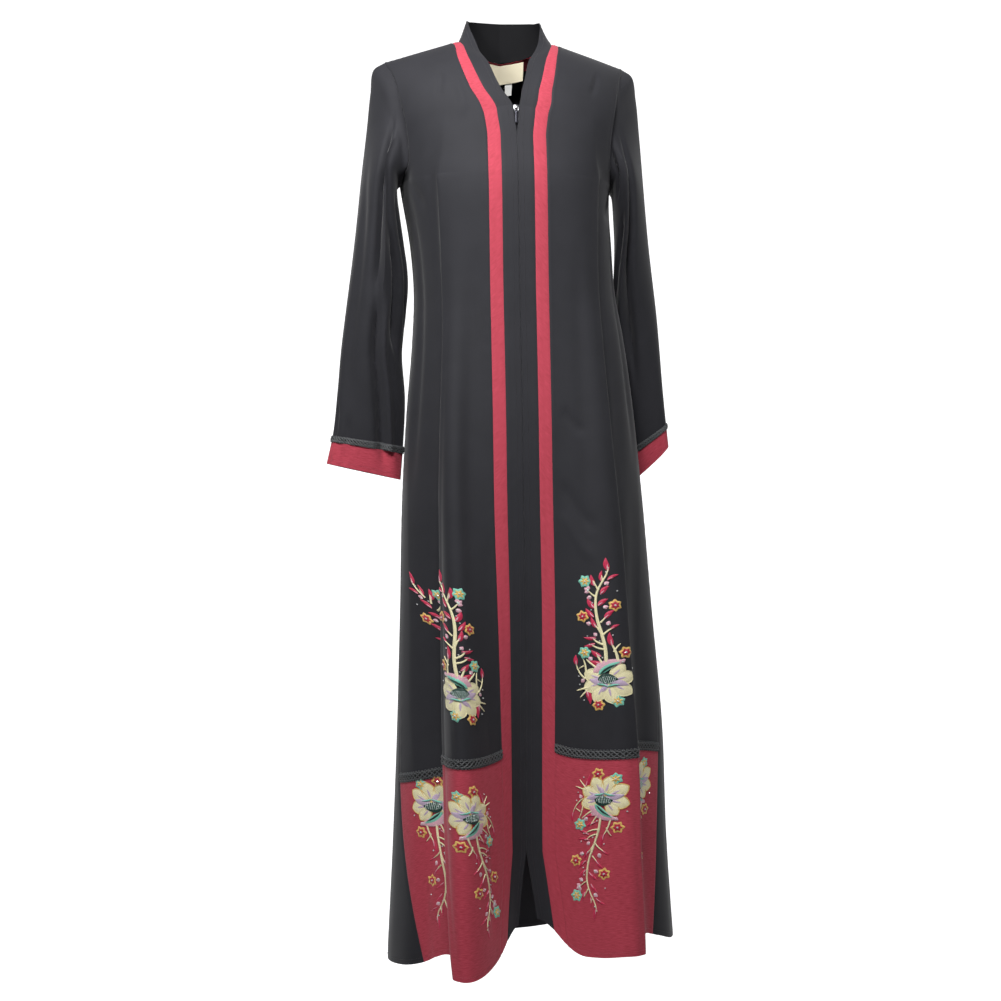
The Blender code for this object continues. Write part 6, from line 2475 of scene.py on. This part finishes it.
class AbayaColours(bpy.types.PropertyGroup):
    crepe: colour("Crepe", "Black crepe in the hollows of its grain", "#1D1D21")
    crepe_light: colour("Crepe, light", "Black crepe on top of its grain", "#27272C")
    # Darker than the crepe: painted shade inside the collar
    lining: colour("Lining", "Twill inside the collar", "#161618")
    maroon: colour("Maroon", "Thin yarns of the maroon weave", "#96323E")
    maroon_light: colour("Maroon, light", "Thick yarns of the maroon weave", "#B24152")
    # Darker than the crepe: the braid's black, and painted shade between its cords
    braid: colour("Braid, ground", "Ribbon under the braid's cords", "#0E0E10")
    braid_edge: colour("Braid, cords", "Cords and looped edges of the braid", "#4E5052")
    satin_cream: colour("Label", "The neck label", "#E6DCC0")
    satin_white: colour("Tab", "The small tab", "#F2F2EE")
    nylon: colour("Zip coil", "Nylon of the zip's coil", "#17171A")
    nylon_light: colour("Zip coil, light", "Worn nylon of the coil", "#232327")
    crystal: colour("Crystal", "Glass crystals", "#E9EEF2")
    # Painted glints on the crystals' facets
    crystal_painted_glint: colour("Crystal, light", "Facets that catch the light", "#FFFFFF")
    paper: colour("Paper", "The backdrop's paper in its tooth", "#B2B2B4")
    paper_light: colour("Paper, light", "The backdrop's paper on top", "#BABABC")
    thread_cream: colour("Cream thread", "Stems and petals", "#F4ECBE")
    thread_rose: colour("Rose thread", "Leaves", "#C8264F")
    thread_pink: colour("Pink thread", "Buds and the hood", "#E3AFBE")
    thread_lavender: colour("Lavender thread", "Inner petals", "#C9B2CC")
    thread_mint: colour("Mint thread", "Lobes of the mint flowers", "#7FCFB8")
    thread_pale_mint: colour("Pale mint thread", "Fine lines on the blossom", "#D5EFE3")
    thread_gold: colour("Gold thread", "Lobes of the gold flowers", "#E6BC66")
    thread_crimson: colour("Crimson thread", "Middles of the gold flowers", "#B81F3C")
    thread_dark_green: colour("Dark green thread", "The blossom's dark middle", "#123A33")
    sewing_black: colour("Black sewing thread", "Stitching on the crepe", "#26262A")
    sewing_maroon: colour("Maroon sewing thread", "Stitching on the maroon", "#B0475A")
    sewing_cream: colour("Cream sewing thread", "Stitching on the label", "#F4EEDC")
    dark_metal: colour("Dark metal", "The pull tab", "#242428")
    bright_metal: colour("Bright metal", "The slider", "#C9C9CC")


class AbayaLights(bpy.types.PropertyGroup):
    key: bpy.props.FloatProperty(name="Key", description="Power of the key light", default=19.0)
    fill: bpy.props.FloatProperty(name="Fill", description="Power of the fill light", default=7.0)
    back: bpy.props.FloatProperty(name="Back", description="Power of the back light", default=3.0)
    side: bpy.props.FloatProperty(name="Side", description="Power of the side light", default=13.0)
    surround: bpy.props.FloatProperty(
        name="Surround", description="Strength of the white surround", default=0.05
    )
    # The paper's own painted glow, standing in for light from behind it
    paper_glow: bpy.props.FloatProperty(
        name="Paper glow", description="Light from behind the paper", default=1.0
    )


class ABAYA_OT_back(bpy.types.Operator):
    """Build the back"""

    bl_idname = "abaya.back"
    bl_label = "Back"

    def execute(self, context):
        build_back(context)
        return {"FINISHED"}


class ABAYA_OT_fronts(bpy.types.Operator):
    """Build the fronts and their hem panels"""

    bl_idname = "abaya.fronts"
    bl_label = "Fronts and hem panels"

    def execute(self, context):
        build_fronts(context)
        return {"FINISHED"}


class ABAYA_OT_strips(bpy.types.Operator):
    """Build the strips, the plackets and the stand collar"""

    bl_idname = "abaya.strips"
    bl_label = "Strips, plackets and collar"

    def execute(self, context):
        build_strips(context)
        return {"FINISHED"}


class ABAYA_OT_sleeves(bpy.types.Operator):
    """Build the sleeves and cuffs"""

    bl_idname = "abaya.sleeves"
    bl_label = "Sleeves and cuffs"

    def execute(self, context):
        build_sleeves(context)
        return {"FINISHED"}


class ABAYA_OT_braids(bpy.types.Operator):
    """Build the braids over the hem panels and above the cuffs"""

    bl_idname = "abaya.braids"
    bl_label = "Braids"

    def execute(self, context):
        build_braids(context)
        return {"FINISHED"}


class ABAYA_OT_zip(bpy.types.Operator):
    """Build the zip's tape and coil, the slider and the pull tab"""

    bl_idname = "abaya.zip"
    bl_label = "Zip"

    def execute(self, context):
        build_zip(context)
        return {"FINISHED"}


class ABAYA_OT_labels(bpy.types.Operator):
    """Build the bare label and tab inside the neck"""

    bl_idname = "abaya.labels"
    bl_label = "Label and tab"

    def execute(self, context):
        build_labels(context)
        return {"FINISHED"}


class ABAYA_OT_stitches(bpy.types.Operator):
    """Build the topstitching"""

    bl_idname = "abaya.stitches"
    bl_label = "Stitching"

    def execute(self, context):
        build_stitches(context)
        return {"FINISHED"}


class ABAYA_OT_embroidery(bpy.types.Operator):
    """Build the flower sprays"""

    bl_idname = "abaya.embroidery"
    bl_label = "Embroidery"

    def execute(self, context):
        build_embroidery(context)
        return {"FINISHED"}


class ABAYA_OT_stage(bpy.types.Operator):
    """Build the floor, the lights and the camera"""

    bl_idname = "abaya.stage"
    bl_label = "Stage"

    def execute(self, context):
        build_stage(context)
        return {"FINISHED"}


OPERATORS = (
    ABAYA_OT_back,
    ABAYA_OT_fronts,
    ABAYA_OT_strips,
    ABAYA_OT_sleeves,
    ABAYA_OT_braids,
    ABAYA_OT_zip,
    ABAYA_OT_labels,
    ABAYA_OT_stitches,
    ABAYA_OT_embroidery,
    ABAYA_OT_stage,
)


class ABAYA_PT_panel(bpy.types.Panel):
    """The abaya's pieces, sizes and colours"""

    bl_idname = "ABAYA_PT_panel"
    bl_label = "Abaya"
    bl_space_type = "VIEW_3D"
    bl_region_type = "UI"
    bl_category = "Abaya"

    def draw(self, context):
        for group in (
            context.scene.abaya_sizes, context.scene.abaya_colours, context.scene.abaya_lights
        ):
            column = self.layout.column(align=True)
            for name in group.__annotations__:
                column.prop(group, name)
        for operator in OPERATORS:
            self.layout.operator(operator.bl_idname)


CLASSES = (AbayaSizes, AbayaColours, AbayaLights, *OPERATORS, ABAYA_PT_panel)


def register():
    for cls in CLASSES:
        bpy.utils.register_class(cls)
    bpy.types.Scene.abaya_sizes = bpy.props.PointerProperty(type=AbayaSizes)
    bpy.types.Scene.abaya_colours = bpy.props.PointerProperty(type=AbayaColours)
    bpy.types.Scene.abaya_lights = bpy.props.PointerProperty(type=AbayaLights)


def unregister():
    del bpy.types.Scene.abaya_lights
    del bpy.types.Scene.abaya_colours
    del bpy.types.Scene.abaya_sizes
    for cls in reversed(CLASSES):
        bpy.utils.unregister_class(cls)


def plain(box):
    """A box's corners as plain lists of numbers."""
    return [[float(value) for value in corner] for corner in box]


def main():
    register()
    for operator in OPERATORS:
        group, name = operator.bl_idname.split(".")
        getattr(getattr(bpy.ops, group), name)()


if __name__ == "__main__":
    main()
